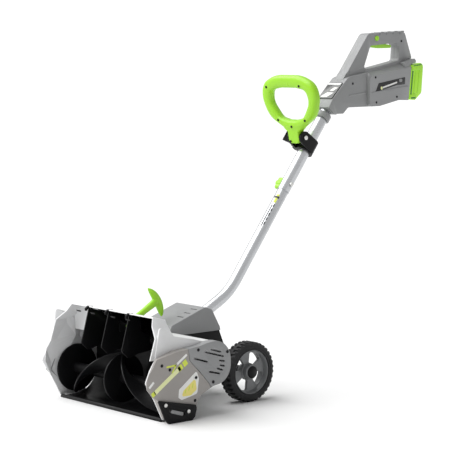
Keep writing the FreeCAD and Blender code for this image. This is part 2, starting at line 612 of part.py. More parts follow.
def make_drive():
    width = size("belt_width")
    for word, bore in (("auger", "shaft_radius"), ("motor", "motor_shaft")):
        profile = pulley_profile(size(f"{word}_pulley_radius"), size(bore), width)
        node(turned(f"{word}_pulley", profile, "pulley_x", f"{word}_y", f"{word}_z"), f"{word}_pulley")

    gap, wall = 0.3, size("belt_wall")
    centres = [V(size("auger_y"), size("auger_z"), 0), V(size("motor_y"), size("motor_z"), 0)]
    radii = [size("auger_pulley_radius"), size("motor_pulley_radius")]

    def loop_face(grow):
        """The face inside a loop that runs round both pulleys."""
        span = centres[1] - centres[0]
        tilt = math.acos((radii[0] - radii[1]) / span.Length)
        heading = math.atan2(span.y, span.x)
        spots = []
        for centre, radius in zip(centres, radii):
            reach = radius + grow
            spots.append([centre + V(math.cos(heading + s * tilt), math.sin(heading + s * tilt), 0) * reach
                          for s in (1, -1)])
        heading_way = V(span).normalize()
        far = [centres[0] - heading_way * (radii[0] + grow), centres[1] + heading_way * (radii[1] + grow)]
        edges = [Part.Arc(spots[0][0], far[0], spots[0][1]).toShape(),
                 Part.LineSegment(spots[0][1], spots[1][1]).toShape(),
                 Part.Arc(spots[1][1], far[1], spots[1][0]).toShape(),
                 Part.LineSegment(spots[1][0], spots[0][0]).toShape()]
        return Part.Face(Part.Wire(edges))

    ring = loop_face(gap + wall).cut(loop_face(gap))
    band = ring.extrude(V(0, 0, width - 3.0))
    band.Placement = FreeCAD.Placement(V(0, 0, 0), PLANES["YZ"][0])
    belt = doc.addObject("Part::Feature", "belt_loop")
    band.translate(V(size("pulley_x") + 2.5, 0, 0))
    belt.Shape = Part.makeCompound([band.copy()])
    node(belt, "drive_belt")

    radius = size("motor_radius")
    shaft_hole = size("motor_shaft") + size("running_gap")
    flange = radius + 2.5
    can = [(92, shaft_hole), (92, radius), (200, radius), (200, flange), (204, flange), (204, shaft_hole),
           (200, shaft_hole), (200, 12), (198, radius - 3), (95, radius - 3), (95, shaft_hole)]
    node(turned("motor_can", can, "0", "motor_y", "motor_z"), "motor_can")
    rotor = [(84, 0.0), (84, 4.0), (108, 4.0), (108, 27), (184, 27), (184, 4.0), (228, 4.0), (228, 0.0)]
    node(turned("motor_rotor", rotor, "0", "motor_y", "motor_z"), "motor_rotor")
    centre = ("motor_y", "motor_z")
    fan = [cylinder("fan_disc", "X", "motor_radius - 2", 72, 2, centre),
           cylinder("fan_hub", "X", 9, 72, 12, centre)]
    blade_count = 9
    for i in range(blade_count):
        turn = math.tau * i / blade_count
        way, across = V(math.cos(turn), math.sin(turn), 0), V(-math.sin(turn), math.cos(turn), 0)
        middle = V(size("motor_y"), size("motor_z"), 0)
        ring = [middle + way * reach + across * half for reach, half in ((6, -1), (33, -1), (33, 1), (6, 1))]
        fan.append(prism(f"fan_blade_{i}", "YZ", 73, 11, [(p.x, p.y) for p in ring]))
    node(fuse("fan_whole", *fan), "cooling_fan")


# ---------------------------------------------------------------- wheels
def make_wheels():
    radius, half = size("wheel_radius"), size("wheel_width") / 2.0
    rim = size("rim_radius")
    for side, word in ((1, "right"), (-1, "left")):
        centre = f"{side} * wheel_x"
        tyre = turned(f"tyre_{word}", [(-half, rim + 1), (-half, radius - 8), (-half + 5, radius),
                                       (half - 5, radius), (half, radius - 8), (half, rim + 1),
                                       (half - 3, rim), (3 - half, rim)],
                      centre, "0", "wheel_radius")
        depth = size("lug_depth")
        for shoulder, phase in ((1, 0.0), (-1, 5.0)):
            turn = math.radians(phase)
            notch = [(radius - depth, -3.2), (radius + 4, -3.8), (radius + 4, 3.8), (radius - depth, 3.2)]
            spun = [(u * math.sin(turn) + v * math.cos(turn), u * math.cos(turn) - v * math.sin(turn))
                    for u, v in notch]
            sketch = body_sketch(tyre, f"lug_{word}_{shoulder + 1}", "YZ", spun, offset=f"{shoulder * 11.0}")
            groove = remove(tyre, "Pocket", sketch, Length="14", Midplane=True)
            polar(tyre, groove, int(size("lug_count")), f"lugs_{word}_{shoulder + 1}")
        node(tyre, f"tyre_{word}")

        hub, bore = size("hub_radius"), size("axle_radius") + size("running_gap")
        disc = turned(f"rim_{word}", [(-19, bore), (-19, hub - 2), (-17, hub), (-4, hub), (-4, rim - 5),
                                      (3 - half, rim - 4), (3 - half, rim), (half - 3, rim),
                                      (half - 3, rim - 4), (4, rim - 6), (4, hub), (17, hub), (19, hub - 2),
                                      (19, bore)],
                      centre, "0", "wheel_radius")
        inner, outer, spread = hub + 5.0, rim - 9.0, math.radians(24)
        first = math.radians(-30)
        window = [(outer * math.cos(first - spread), outer * math.sin(first - spread), 4),
                  (1.09 * outer * math.cos(first), 1.09 * outer * math.sin(first), 30),
                  (outer * math.cos(first + spread), outer * math.sin(first + spread), 4),
                  (inner * math.cos(first + spread), inner * math.sin(first + spread), 3),
                  (inner * math.cos(first - spread), inner * math.sin(first - spread), 3)]
        window_sketch = body_sketch(disc, f"window_{word}", "YZ", window)
        opening = remove(disc, "Pocket", window_sketch, Length="30", Midplane=True)
        polar(disc, opening, 4, f"windows_{word}")
        node(disc, f"rim_{word}")

        cap = turned(f"cap_{word}", [(0, 0), (0, 15.5), (2, 15.5), (5, 11), (6, 0)], "0", "0", "wheel_radius")
        face = f"{side} * (wheel_x + 19)"
        if side < 0:
            cap.Placement = FreeCAD.Placement(V(0, 0, 0), FreeCAD.Rotation(V(0, 0, 1), 180))
        locate(cap, x=face)
        node(cap, f"hub_cap_{word}")


# ---------------------------------------------------------------- tubes
def make_tubes():
    pitch, low = math.radians(size("tube_pitch")), math.radians(size("lower_pitch"))
    joint = V(size("joint_y"), size("joint_z"), 0)
    up, slope = V(math.cos(pitch), math.sin(pitch), 0), V(math.cos(low), math.sin(low), 0)
    foot = V(-104, 166.4, 0)
    run = ((joint - foot).cross(up)).z / (slope.cross(up)).z
    corner = foot + slope * run
    top = joint + up * size("lower_insert")
    tangent = size("bend_radius") * math.tan((pitch - low) / 2.0)
    bend_in, bend_out = corner - slope * tangent, corner + up * tangent
    centre = bend_in + V(-slope.y, slope.x, 0) * size("bend_radius")
    middle = centre + (corner - centre).normalize() * size("bend_radius")

    def swept(name, radius):
        path = doc.addObject("Sketcher::SketchObject", name + "_path")
        path.Placement = FreeCAD.Placement(V(0, 0, 0), PLANES["YZ"][0])
        path.addGeometry([Part.LineSegment(foot, bend_in), Part.Arc(bend_in, middle, bend_out),
                          Part.LineSegment(bend_out, top)], False)
        ring = doc.addObject("Sketcher::SketchObject", name + "_ring")
        square_on = FreeCAD.Rotation(V(1, 0, 0), size("lower_pitch") - 90)
        ring.Placement = FreeCAD.Placement(V(0, foot.x, foot.y), square_on)
        index = ring.addGeometry(Part.Circle(V(0, 0, 0), V(0, 0, 1), 14.0), False)
        number = ring.addConstraint(Sketcher.Constraint("Radius", index, 14.0))
        ring.setExpression(f"Constraints[{number}]", cells(radius))
        ring.addConstraint(Sketcher.Constraint("Coincident", index, 3, -1, 1))
        solid = doc.addObject("Part::Sweep", name)
        solid.Sections = [ring]
        solid.Spine = (path, ["Edge1", "Edge2", "Edge3"])
        solid.Solid = True
        solid.Frenet = True
        return solid

    def cross_hole(name):
        hole = doc.addObject("Part::Cylinder", name)
        locate(hole, AXIS_TURN["X"], x="-30", **along_tube("joint_bolt_at"))
        hole.setExpression("Radius", cells("joint_bolt_radius"))
        hole.Height = 60
        return hole

    lower = cut("lower_tube_pipe", swept("lower_outer", "lower_tube_radius"),
                swept("lower_inner", "lower_tube_radius - tube_wall"), cross_hole("lower_cross_hole"))
    node(lower, "lower_tube")
    upper = cut("upper_tube_pipe",
                tube_cylinder("upper_outer", "upper_tube_radius", "0", "upper_tube_length"),
                tube_cylinder("upper_inner", "lower_tube_radius + 0.02", "-1", "upper_tube_length + 2"),
                cross_hole("upper_cross_hole"))
    node(upper, "upper_tube")

    def on_joint(name, radius, start, length):
        rod = doc.addObject("Part::Cylinder", name)
        locate(rod, AXIS_TURN["X"], x=start, **along_tube("joint_bolt_at"))
        rod.setExpression("Radius", cells(radius))
        rod.setExpression("Height", cells(length))
        return rod

    bolt = fuse("joint_bolt_whole", on_joint("joint_bolt_rod", "joint_bolt_radius", "-32", "52"),
                on_joint("joint_bolt_nut", "5.5", "upper_tube_radius", "5"))
    node(bolt, "joint_bolt")

    knob = new_body("wing_knob_body")
    lobe = [(-17, -7, 6), (-17, 7, 6), (-5, 6, 3), (5, 6, 3), (17, 7, 6), (17, -7, 6), (5, -6, 3),
            (-5, -6, 3)]
    pad(knob, body_sketch(knob, "wing_outline", "YZ", lobe), 17, back=True)
    hub = body_sketch(knob, "wing_hub", "YZ", circles=[(0, 0, 8.5)])
    pad(knob, hub, 19, back=True)
    doc.recompute()
    bolt_room = size("joint_bolt_radius") + size("running_gap")
    bore = body_sketch(knob, "wing_bore", "YZ", circles=[(0, 0, bolt_room)])
    remove(knob, "Pocket", bore, Length="17")
    locate(knob, FreeCAD.Rotation(V(1, 0, 0), size("tube_pitch")), x="-upper_tube_radius - 0.4",
           **along_tube("joint_bolt_at"))
    node(knob, "wing_knob")


# ---------------------------------------------------------------- snow deflector
VANE = [(-325, 243, 2), (-349, 157, 6), (-328, 137, 8), (-298, 146, 10), (-246, 152, 8), (-244, 167, 2),
        (-262, 167, 2), (-262, 187, 2), (-244, 187, 1), (-244, 195, 2), (-288, 232, 4)]
LEVER_FOOT, LEVER_HEAD = V(0, -268, 203), V(0, -170, 258)


def lever_stem(name, radius):
    """The round bar of the steering lever, from the vane up to the crossbar."""
    way = LEVER_HEAD - LEVER_FOOT
    stem = doc.addObject("Part::Cylinder", name)
    stem.Placement = FreeCAD.Placement(LEVER_FOOT, FreeCAD.Rotation(V(0, 0, 1), way))
    stem.setExpression("Radius", cells(radius))
    stem.Height = way.Length
    return stem


def make_deflector():
    for i, word in ((-1, "left"), (0, "middle"), (1, "right")):
        blade = prism(f"vane_blade_{word}", "YZ", f"{i} * vane_pitch - vane_wall / 2", "vane_wall", VANE)
        pin = cylinder(f"vane_pin_{word}", "Z", "3.0", "236", "18", (f"{i} * vane_pitch", "vane_pivot_y"))
        boss = cylinder(f"vane_boss_{word}", "Z", "5.0", "248", "2.5", (f"{i} * vane_pitch", "vane_pivot_y"))
        stud = cylinder(f"vane_stud_{word}", "Z", "2.5", "166", "22", (f"{i} * vane_pitch", "-252"))
        whole = fuse(f"vane_whole_{word}", blade, pin, boss, stud)
        if i == 0:
            whole = cut("vane_notched", whole, lever_stem("stem_room", "8 + running_gap"))
        node(whole, f"vane_{word}")

    holes = [(i * size("vane_pitch"), -252, 2.5 + 2 * size("running_gap")) for i in (-1, 0, 1)]
    link = new_body("link_bar_body")
    reach = size("vane_pitch") + 9
    outline = [(-reach, -258, 5.5), (reach, -258, 5.5), (reach, -246, 5.5), (-reach, -246, 5.5)]
    pad(link, body_sketch(link, "link_outline", "XY", outline, circles=holes), 3)
    node(locate(link, z=175), "link_bar")

    head = LEVER_HEAD
    stem_way = math.atan2(head.z - LEVER_FOOT.z, head.y - LEVER_FOOT.y)
    stem = lever_stem("lever_stem", "8")
    fork = prism("lever_fork", "YZ", "vane_wall / 2", 5,
                 [(-296, 214, 4), (-270, 214, 4), (-256, 206, 3), (-254, 196, 3), (-296, 190, 4)])
    middle = V(head.y - 4 + 4 * math.cos(stem_way), head.z + 2, 0)
    along = V(-math.sin(stem_way), math.cos(stem_way), 0)
    ends = [middle - along * 38 - V(4, 0, 0), middle + along * 38 - V(4, 0, 0)]
    path = doc.addObject("Sketcher::SketchObject", "lever_bar_path")
    path.Placement = FreeCAD.Placement(V(0, 0, 0), PLANES["YZ"][0])
    arc = Part.Arc(ends[0], middle, ends[1])
    path.addGeometry(arc, False)
    ring = doc.addObject("Sketcher::SketchObject", "lever_bar_ring")
    start_way = arc.toShape().tangentAt(arc.toShape().FirstParameter)
    ring.Placement = FreeCAD.Placement(V(0, ends[0].x, ends[0].y),
                                       FreeCAD.Rotation(V(0, 0, 1), V(0, start_way.x, start_way.y)))
    ring.addGeometry(Part.Circle(V(0, 0, 0), V(0, 0, 1), 10.0), False)
    crossbar = doc.addObject("Part::Sweep", "lever_bar")
    crossbar.Sections = [ring]
    crossbar.Spine = (path, ["Edge1"])
    crossbar.Solid = True
    tips = []
    for i, end in enumerate(ends):
        ball = doc.addObject("Part::Sphere", f"lever_tip_{i}")
        ball.Placement = FreeCAD.Placement(V(0, end.x, end.y), FreeCAD.Rotation())
        ball.Radius = 10
        tips.append(ball)
    node(fuse("lever_whole", stem, fork, crossbar, *tips), "steering_lever")


# ---------------------------------------------------------------- rear handle and battery
LOOP = [(404, 748, 4), (459, 804, 16), (551, 925, 20), (692, 932, 16), (722, 858, 6), (698, 846),
        (600, 829), (470, 806)]
HAND_HOLE = [(559, 892, 8), (536, 837, 8), (538, 826, 8), (670, 851, 10), (673, 889, 10), (661, 900, 6)]
NECK = [(380, 713, 4), (408, 694, 4), (420, 708, 4), (445, 710, 8), (463, 726, 10), (560, 727), (560, 824),
        (470, 808, 6), (459, 804, 6), (404, 748, 4)]
BAY = [(534, 727, 8), (574, 728, 8), (648, 743, 8), (686, 742), (697.5, 846), (534, 820, 12)]
BATTERY_END = [(697, 838, 4), (687, 744, 4), (712, 742, 6), (738, 762, 12), (744, 839, 10), (733, 845, 6)]
BATTERY_INSERT = [(697, 818), (600, 801, 3), (592, 748, 3), (690, 765)]
TRIGGER = [(553, 904, 4), (557, 894, 4), (562, 889, 4), (600, 885, 30), (648, 886, 4), (650, 894, 3),
           (600, 900), (566, 903, 3)]
BATTERY_ROOM = [(706, 819.5), (600, 801), (592, 748), (706, 768)]
LATCH_ROOM = [(702, 834.5, 1), (702, 856), (734, 862), (732, 839.5, 1)]
LATCH = [(704, 838.5, 1), (707, 846, 2), (726, 850, 3), (730, 843.2, 1)]
TRIGGER_PIVOT, BUTTON = (558, 900), (583, 912)


def handle_half(word, side):
    """One half of the rear handle: a hollow loop, a hollow neck and a wide battery bay, split at x = 0."""
    wall = size("shell_wall")

    def slab(name, half, corners, holes=(), trim="0"):
        start = "0" if side > 0 else f"-({half} - {trim})"
        return prism(f"{name}_{word}", "YZ", start, f"{half} - {trim}", corners, holes)

    outer = fuse(f"handle_outer_{word}", slab("loop", "grip_half", LOOP, [HAND_HOLE]),
                 slab("neck", "body_half", NECK), slab("bay", "bay_half", BAY))
    bay_space = inset(BAY, wall)
    bay_space[3] = (700, bay_space[3][1] + 1.6)
    bay_space[4] = (712, bay_space[4][1] + 2.2)
    neck_space = inset(NECK, wall)
    cavity = [slab("bay_space", "bay_half", bay_space, trim="shell_wall"),
              slab("neck_space", "body_half", neck_space, trim="shell_wall"),
              slab("loop_space", "grip_half", inset(LOOP, wall), [inset(HAND_HOLE, -wall)],
                   trim="shell_wall")]
    tube_room = tube_cylinder(f"handle_tube_room_{word}", "upper_tube_radius", "230",
                              "upper_tube_length - 230")
    start = "0" if side > 0 else "-8"
    trigger_slot = prism(f"trigger_slot_{word}", "YZ", start, "8",
                         [(549, 914), (549, 885), (656, 880), (656, 914)])
    button_hole = cylinder(f"button_hole_{word}", "X", "button_radius + 0.3", "0" if side > 0 else "-30",
                           "30", BUTTON)
    shell = cut(f"handle_half_{word}", outer, *cavity, tube_room, trigger_slot, button_hole)
    return node(shell, f"handle_shell_{word}")


def make_handle():
    handle_half("right", 1)
    handle_half("left", -1)
    node(cut("collar_ring", tube_cylinder("collar_outer", "21", "219", "17"),
             tube_cylinder("collar_bore", "upper_tube_radius", "213", "30")), "handle_collar")

    way = math.radians(45.5)
    out = V(-math.sin(way), math.cos(way), 0)
    low, high = V(405.5, 749.6, 0), V(447, 791.9, 0)
    quad = [low, high, high + out * 3.0, low + out * 3.0]
    panel = new_body("panel_body")
    pad(panel, body_sketch(panel, "panel_section", "YZ", [(p.x, p.y) for p in quad]), 52, both=True)
    node(panel, "display_panel")

    spots = [(480, 790), (560, 738), (640, 752), (680, 905), (556, 806)]
    faces = [size("body_half"), size("bay_half"), size("bay_half"), size("grip_half"), size("bay_half")]
    screws = [screw(f"handle_screw_{i}", "X", 1, f"{face}", at, head=(3.2, 0.8), shank=(1.5, 8.0))
              for i, (at, face) in enumerate(zip(spots, faces))]
    node(group("handle_screw_group", screws), "handle_screws")

    trigger = new_body("trigger_body")
    pin_radius = 2.0
    circle = [TRIGGER_PIVOT + (pin_radius + size("running_gap"),)]
    pad(trigger, body_sketch(trigger, "trigger_outline", "YZ", TRIGGER, circles=circle), 13, both=True)
    node(trigger, "trigger")
    button = cylinder("button_rod", "X", "button_radius", "-grip_half - 3", "2 * grip_half + 6", BUTTON)
    node(button, "lock_off_button")
    switch = prism("switch_box", "YZ", "-7", "14", [(604, 924.9), (604, 907), (634, 909), (634, 926.4)])
    pin = cylinder("trigger_pin", "X", pin_radius, "-grip_half + shell_wall", "2 * (grip_half - shell_wall)",
                   TRIGGER_PIVOT)
    node(group("switch_group", [switch, pin]), "switch_block")

    end = prism("battery_end", "YZ", "-battery_half", "2 * battery_half", BATTERY_END)
    insert = prism("battery_insert", "YZ", "-36", "72", BATTERY_INSERT)
    space = prism("battery_space", "YZ", "-34", "68", inset(BATTERY_ROOM, 2.0))
    latch_room = prism("latch_room", "YZ", -14, 28, LATCH_ROOM)
    node(cut("battery_hollow", fuse("battery_solid", end, insert), space, latch_room), "battery_case")
    pitch = math.radians(size("battery_pitch"))
    along, across = V(math.cos(pitch), math.sin(pitch), 0), V(-math.sin(pitch), math.cos(pitch), 0)
    first, gap = V(612, 777.4, 0), size("cell_pitch")
    cells_made = []
    for column in range(5):
        for level in (-0.5, 0.5):
            spot = first + along * (column * gap) + across * (level * gap)
            cells_made.append(cylinder(f"cell_{column}_{int(level + 0.5)}", "X", "cell_radius",
                                       "-cell_length / 2", "cell_length", (spot.x, spot.y)))
    node(group("cell_group", cells_made), "battery_cells")
    node(prism("latch_block", "YZ", "-13", "26", LATCH), "battery_latch")


# ---------------------------------------------------------------- D-handle, clamp and cam lever
LOOP_OUTLINE = [(-12, -13, 4), (-19.5, -4, 4), (-19.5, 20, 4), (-34, 27, 14), (-92, 62, 60), (-106, 112, 40),
                (-98, 155, 34), (-50, 167, 40)]
CAM_PIN = (-34, -6)
LOOP_HOLE = [(-14, 50, 12), (-44, 56, 22), (-74, 98, 30), (-66, 130, 22), (-28, 136, 40)]
LOOP_SCREWS = [(-78, 139), (50, 143), (-49, 50), (55, 51), (0, 33), (-11, -7)]
EAR_INNER, EAR_OUTER = 20.0, 27.0


def make_loop():
    """The D-handle: two half shells about one plane, their screws, and the bolt they tilt on."""
    outline = mirror_x(LOOP_OUTLINE)
    hole = mirror_x(LOOP_HOLE)
    where = along_tube("clamp_at", "pivot_reach")
    bolt_radius = 4.0

    def pivot(name, radius, start, length):
        rod = doc.addObject("Part::Cylinder", name)
        locate(rod, AXIS_TURN["X"], x=start, **where)
        rod.Radius = radius
        rod.Height = length
        return rod

    for word, back in (("front", False), ("rear", True)):
        shell = new_body(f"loop_body_{word}")
        sketch = body_sketch(shell, f"loop_outline_{word}", "XZ", outline, [hole], offset="loop_offset")
        pad(shell, sketch, "loop_half_depth", back=back)
        locate(shell, LOOP_TURN, **where)
        if back:
            hole_radius = bolt_radius + size("running_gap")
            shell = cut("loop_half_rear", shell, pivot("loop_pivot_hole", hole_radius, -40, 80))
        node(shell, f"loop_shell_{word}")

    face = size("loop_half_depth") + size("loop_offset")
    screws = []
    for u, w in LOOP_SCREWS:
        head = Part.makeCylinder(3.5, 1.0, V(u, -face, w), V(0, -1, 0))
        shank = Part.makeCylinder(1.6, 12.0, V(u, -face, w), V(0, 1, 0))
        screws.append(head.fuse(shank))
    feature = doc.addObject("Part::Feature", "loop_screw_set")
    feature.Shape = Part.makeCompound(screws)
    node(locate(feature, LOOP_TURN, **where), "loop_screws")

    head_radius, head_length, seat = 6.0, 4.0, EAR_OUTER + 0.3
    bolt = fuse("pivot_bolt_whole", pivot("pivot_rod", bolt_radius, -seat - 1, 2 * seat + 2),
                pivot("pivot_head", head_radius, seat, head_length),
                pivot("pivot_nut", head_radius, -seat - head_length, head_length))
    node(bolt, "pivot_bolt")


def make_clamp():
    """A ring round the upper tube, two ears outside the D-handle's neck and two lugs for the cam lever."""
    reach = size("pivot_reach")
    body = new_body("clamp_body")
    ring = body_sketch(body, "clamp_ring", "XY", circles=[(0, 0, "clamp_radius")])
    pad(body, ring, "clamp_length", both=True)
    ear = [(4, -18, 3), (4, 18, 3), (-reach - 6, 17, 12), (-reach - 16, 7, 5), (-reach - 16, -7, 5),
           (-reach - 6, -17, 12)]
    for side in (1, -1):
        middle = side * (EAR_INNER + EAR_OUTER) / 2
        sketch = body_sketch(body, f"clamp_ear_{side + 1}", "YZ", ear, offset=middle)
        pad(body, sketch, EAR_OUTER - EAR_INNER, both=True)
    for side in (1, -1):
        lug = body_sketch(body, f"clamp_lug_{side + 1}", "XY",
                          [(-20, -14, 3), (-40, -14, 6), (-40, 2, 6), (-18, 6, 3)], offset=f"{side * 12.5}")
        pad(body, lug, 4, both=True)
    doc.recompute()
    tube_room = size("upper_tube_radius") + size("running_gap")
    bore = body_sketch(body, "clamp_bore", "XY", circles=[(0, 0, tube_room)])
    remove(body, "Pocket", bore, Length="80", Midplane=True)
    hole = body_sketch(body, "clamp_cross", "YZ", circles=[(-reach, 0, 4.0)])
    remove(body, "Pocket", hole, Length="80", Midplane=True)
    pin_hole = body_sketch(body, "clamp_pin_hole", "XY", circles=[CAM_PIN + ("clamp_pin_radius",)])
    remove(body, "Pocket", pin_hole, Length="60", Midplane=True)
    locate(body, TUBE_TURN, **along_tube("clamp_at"))
    pin = doc.addObject("Part::Feature", "clamp_pin")
    pin.Shape = Part.makeCylinder(size("clamp_pin_radius"), 29.0, V(*CAM_PIN, -14.5), V(0, 0, 1))
    locate(pin, TUBE_TURN, **along_tube("clamp_at"))
    node(fuse("clamp_whole", body, pin), "tube_clamp")

    lever = new_body("cam_lever_body")
    barrel = [(-30, -2, 4), (-30, -11, 4), (-44, -18, 3), (-44, -10, 4), (-38.5, -2, 4)]
    blade = [(-40, -10, 2), (-40, -17, 2), (-46, -27, 6), (-62, -37, 2.4), (-65, -32, 2.4), (-50, -20, 8)]
    pin_room = CAM_PIN + (size("clamp_pin_radius") + size("running_gap"),)
    pad(lever, body_sketch(lever, "cam_barrel", "XY", barrel, circles=[pin_room]), 20, both=True)
    pad(lever, body_sketch(lever, "cam_blade", "XY", blade, offset=8), 28, both=True)
    locate(lever, TUBE_TURN, **along_tube("clamp_at"))
    node(lever, "cam_lever")


# ---------------------------------------------------------------- build, check, write
make_scoop()
make_covers()
make_body()
make_auger()
make_drive()
make_wheels()
make_tubes()
make_deflector()
make_handle()
make_loop()
make_clamp()

doc.recompute()
for obj in doc.Objects:
    if "Invalid" in obj.State or "Error" in obj.State:
        raise RuntimeError(f"{obj.Name} ({obj.Label}) failed: {obj.State}")
os.makedirs("parts", exist_ok=True)
for obj in nodes:
    if obj.Shape.isNull() or not obj.Shape.isValid() or obj.Shape.Volume < 1.0:
        raise RuntimeError(f"{obj.Label} has no valid shape")
for obj in nodes:
    obj.Shape.exportStep(os.path.join("parts", obj.Label + ".step"))
print(f"{len(nodes)} nodes written")
box = FreeCAD.BoundBox()
for obj in nodes:
    box.add(obj.Shape.BoundBox)
print("box", [round(number, 1) for number in (box.XMin, box.XMax, box.YMin, box.YMax, box.ZMin, box.ZMax)])
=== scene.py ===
"""A cordless snow shovel's looks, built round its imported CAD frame: metres, +Z up, +Y to the operator."""
import json
import math

import bmesh
import bpy
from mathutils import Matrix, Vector


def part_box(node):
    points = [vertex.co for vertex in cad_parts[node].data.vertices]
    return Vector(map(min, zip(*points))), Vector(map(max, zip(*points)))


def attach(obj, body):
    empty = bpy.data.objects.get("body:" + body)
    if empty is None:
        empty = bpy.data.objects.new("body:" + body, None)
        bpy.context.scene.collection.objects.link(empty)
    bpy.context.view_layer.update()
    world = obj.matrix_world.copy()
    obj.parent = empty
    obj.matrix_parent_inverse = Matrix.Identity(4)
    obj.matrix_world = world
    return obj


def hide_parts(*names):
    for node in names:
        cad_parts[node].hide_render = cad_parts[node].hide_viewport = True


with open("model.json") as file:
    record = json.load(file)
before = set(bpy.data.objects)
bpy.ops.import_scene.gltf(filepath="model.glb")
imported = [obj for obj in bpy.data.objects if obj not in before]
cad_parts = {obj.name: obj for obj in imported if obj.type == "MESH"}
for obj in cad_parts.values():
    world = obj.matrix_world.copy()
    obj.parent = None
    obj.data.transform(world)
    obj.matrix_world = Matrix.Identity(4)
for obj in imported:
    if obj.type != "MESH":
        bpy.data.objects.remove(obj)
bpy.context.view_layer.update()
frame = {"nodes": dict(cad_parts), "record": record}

NODES = frame["nodes"]
MM = 0.001


# ---------------------------------------------------------------- camera, floor and light
def middle(node):
    low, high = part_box(node)
    return (low + high) / 2.0


AXLE = middle("wheel_axle")
VIEW_TURN, VIEW_RISE = math.radians(49.4), math.radians(5.6)
VIEW_DISTANCE, VIEW_LENS = 4.6326, 141.93
VIEW_TARGET = Vector((-0.0475, AXLE.y + 0.0910, 0.4254))
SKY_LIGHT, SHEEN_LIGHT, BACKDROP_LIGHT, WINDOW_LIGHT = 0.34, 0.42, 1.1, 3.6
WINDOW_FROM, WINDOW_SPREAD = Vector((-0.42, -0.50, 0.76)), math.radians(75)


def make_camera():
    level = math.cos(VIEW_RISE)
    back = Vector((math.sin(VIEW_TURN) * level, -math.cos(VIEW_TURN) * level, math.sin(VIEW_RISE)))
    data = bpy.data.cameras.new("camera")
    data.sensor_width = 36.0
    data.lens = VIEW_LENS
    camera = bpy.data.objects.new("camera", data)
    camera.location = VIEW_TARGET + back * VIEW_DISTANCE
    camera.rotation_euler = back.to_track_quat("Z", "Y").to_euler()
    bpy.context.scene.collection.objects.link(camera)
    bpy.context.scene.camera = camera


def make_floor():
    mesh = bpy.data.meshes.new("floor")
    reach = 14.0
    corners = [(-reach, -reach, 0), (reach, -reach, 0), (reach, reach, 0), (-reach, reach, 0)]
    mesh.from_pydata(corners, [], [(0, 1, 2, 3)])
    floor = bpy.data.objects.new("floor", mesh)
    bpy.context.scene.collection.objects.link(floor)
    material = bpy.data.materials.new("floor_paper")
    material.use_nodes = True
    shader = material.node_tree.nodes["Principled BSDF"]
    shader.inputs["Base Color"].default_value = (0.93, 0.93, 0.93, 1)
    shader.inputs["Roughness"].default_value = 0.9
    shader.inputs["Specular IOR Level"].default_value = 0.1
    mesh.materials.append(material)


def make_light():
    world = bpy.data.worlds.new("studio")
    bpy.context.scene.world = world
    world.use_nodes = True
    tree = world.node_tree
    backdrop = tree.nodes["Background"]
    backdrop.inputs["Color"].default_value = (1, 1, 1, 1)
    path = tree.nodes.new("ShaderNodeLightPath")
    seen = add(tree, "ShaderNodeMapRange", To_Min=SKY_LIGHT, To_Max=BACKDROP_LIGHT)
    mirrored_light = add(tree, "ShaderNodeMapRange", To_Min=0.0, To_Max=SHEEN_LIGHT)
    total = tree.nodes.new("ShaderNodeMath")
    tree.links.new(path.outputs["Is Camera Ray"], seen.inputs["Value"])
    tree.links.new(path.outputs["Is Glossy Ray"], mirrored_light.inputs["Value"])
    tree.links.new(seen.outputs["Result"], total.inputs[0])
    tree.links.new(mirrored_light.outputs["Result"], total.inputs[1])
    tree.links.new(total.outputs["Value"], backdrop.inputs["Strength"])
    data = bpy.data.lights.new("window", "SUN")
    data.energy = WINDOW_LIGHT
    data.angle = WINDOW_SPREAD
    lamp = bpy.data.objects.new("window", data)
    lamp.rotation_euler = WINDOW_FROM.to_track_quat("Z", "Y").to_euler()
    bpy.context.scene.collection.objects.link(lamp)
    bpy.context.scene.view_settings.view_transform = "Standard"


# ---------------------------------------------------------------- materials
def start_material(name):
    material = bpy.data.materials.new(name)
    material.use_nodes = True
    tree = material.node_tree
    return material, tree, tree.nodes["Principled BSDF"]


def add(tree, kind, **inputs):
    node = tree.nodes.new(kind)
    for key, value in inputs.items():
        node.inputs[key.replace("_", " ")].default_value = value
    return node


def place_noise(tree, scale, detail=2.0):
    spot = add(tree, "ShaderNodeTexCoord")
    noise = add(tree, "ShaderNodeTexNoise", Scale=scale, Detail=detail)
    tree.links.new(spot.outputs["Object"], noise.inputs["Vector"])
    return noise


def vary_colour(tree, shader, colour, tone, scale):
    """A slow drift between a darker and a lighter tone of one colour."""
    noise = place_noise(tree, scale, 4.0)
    ramp = add(tree, "ShaderNodeValToRGB")
    ramp.color_ramp.elements[0].position = 0.3
    ramp.color_ramp.elements[1].position = 0.7
    ramp.color_ramp.elements[0].color = (*[c * (1 - tone) for c in colour], 1)
    ramp.color_ramp.elements[1].color = (*[min(c * (1 + tone), 1) for c in colour], 1)
    tree.links.new(noise.outputs["Fac"], ramp.inputs["Fac"])
    tree.links.new(ramp.outputs["Color"], shader.inputs["Base Color"])
    return ramp


def wear_edges(tree, shader, ramp, edge, strength):
    """Corners drawn towards another tone, such as where they are rubbed."""
    shape = add(tree, "ShaderNodeNewGeometry")
    pick = add(tree, "ShaderNodeMapRange", From_Min=0.52, From_Max=0.62, To_Min=0.0, To_Max=strength)
    mix = add(tree, "ShaderNodeMix")
    mix.data_type = "RGBA"
    mix.inputs[7].default_value = (*edge, 1)
    tree.links.new(shape.outputs["Pointiness"], pick.inputs["Value"])
    tree.links.new(pick.outputs["Result"], mix.inputs[0])
    tree.links.new(ramp.outputs["Color"], mix.inputs[6])
    tree.links.new(mix.outputs[2], shader.inputs["Base Color"])


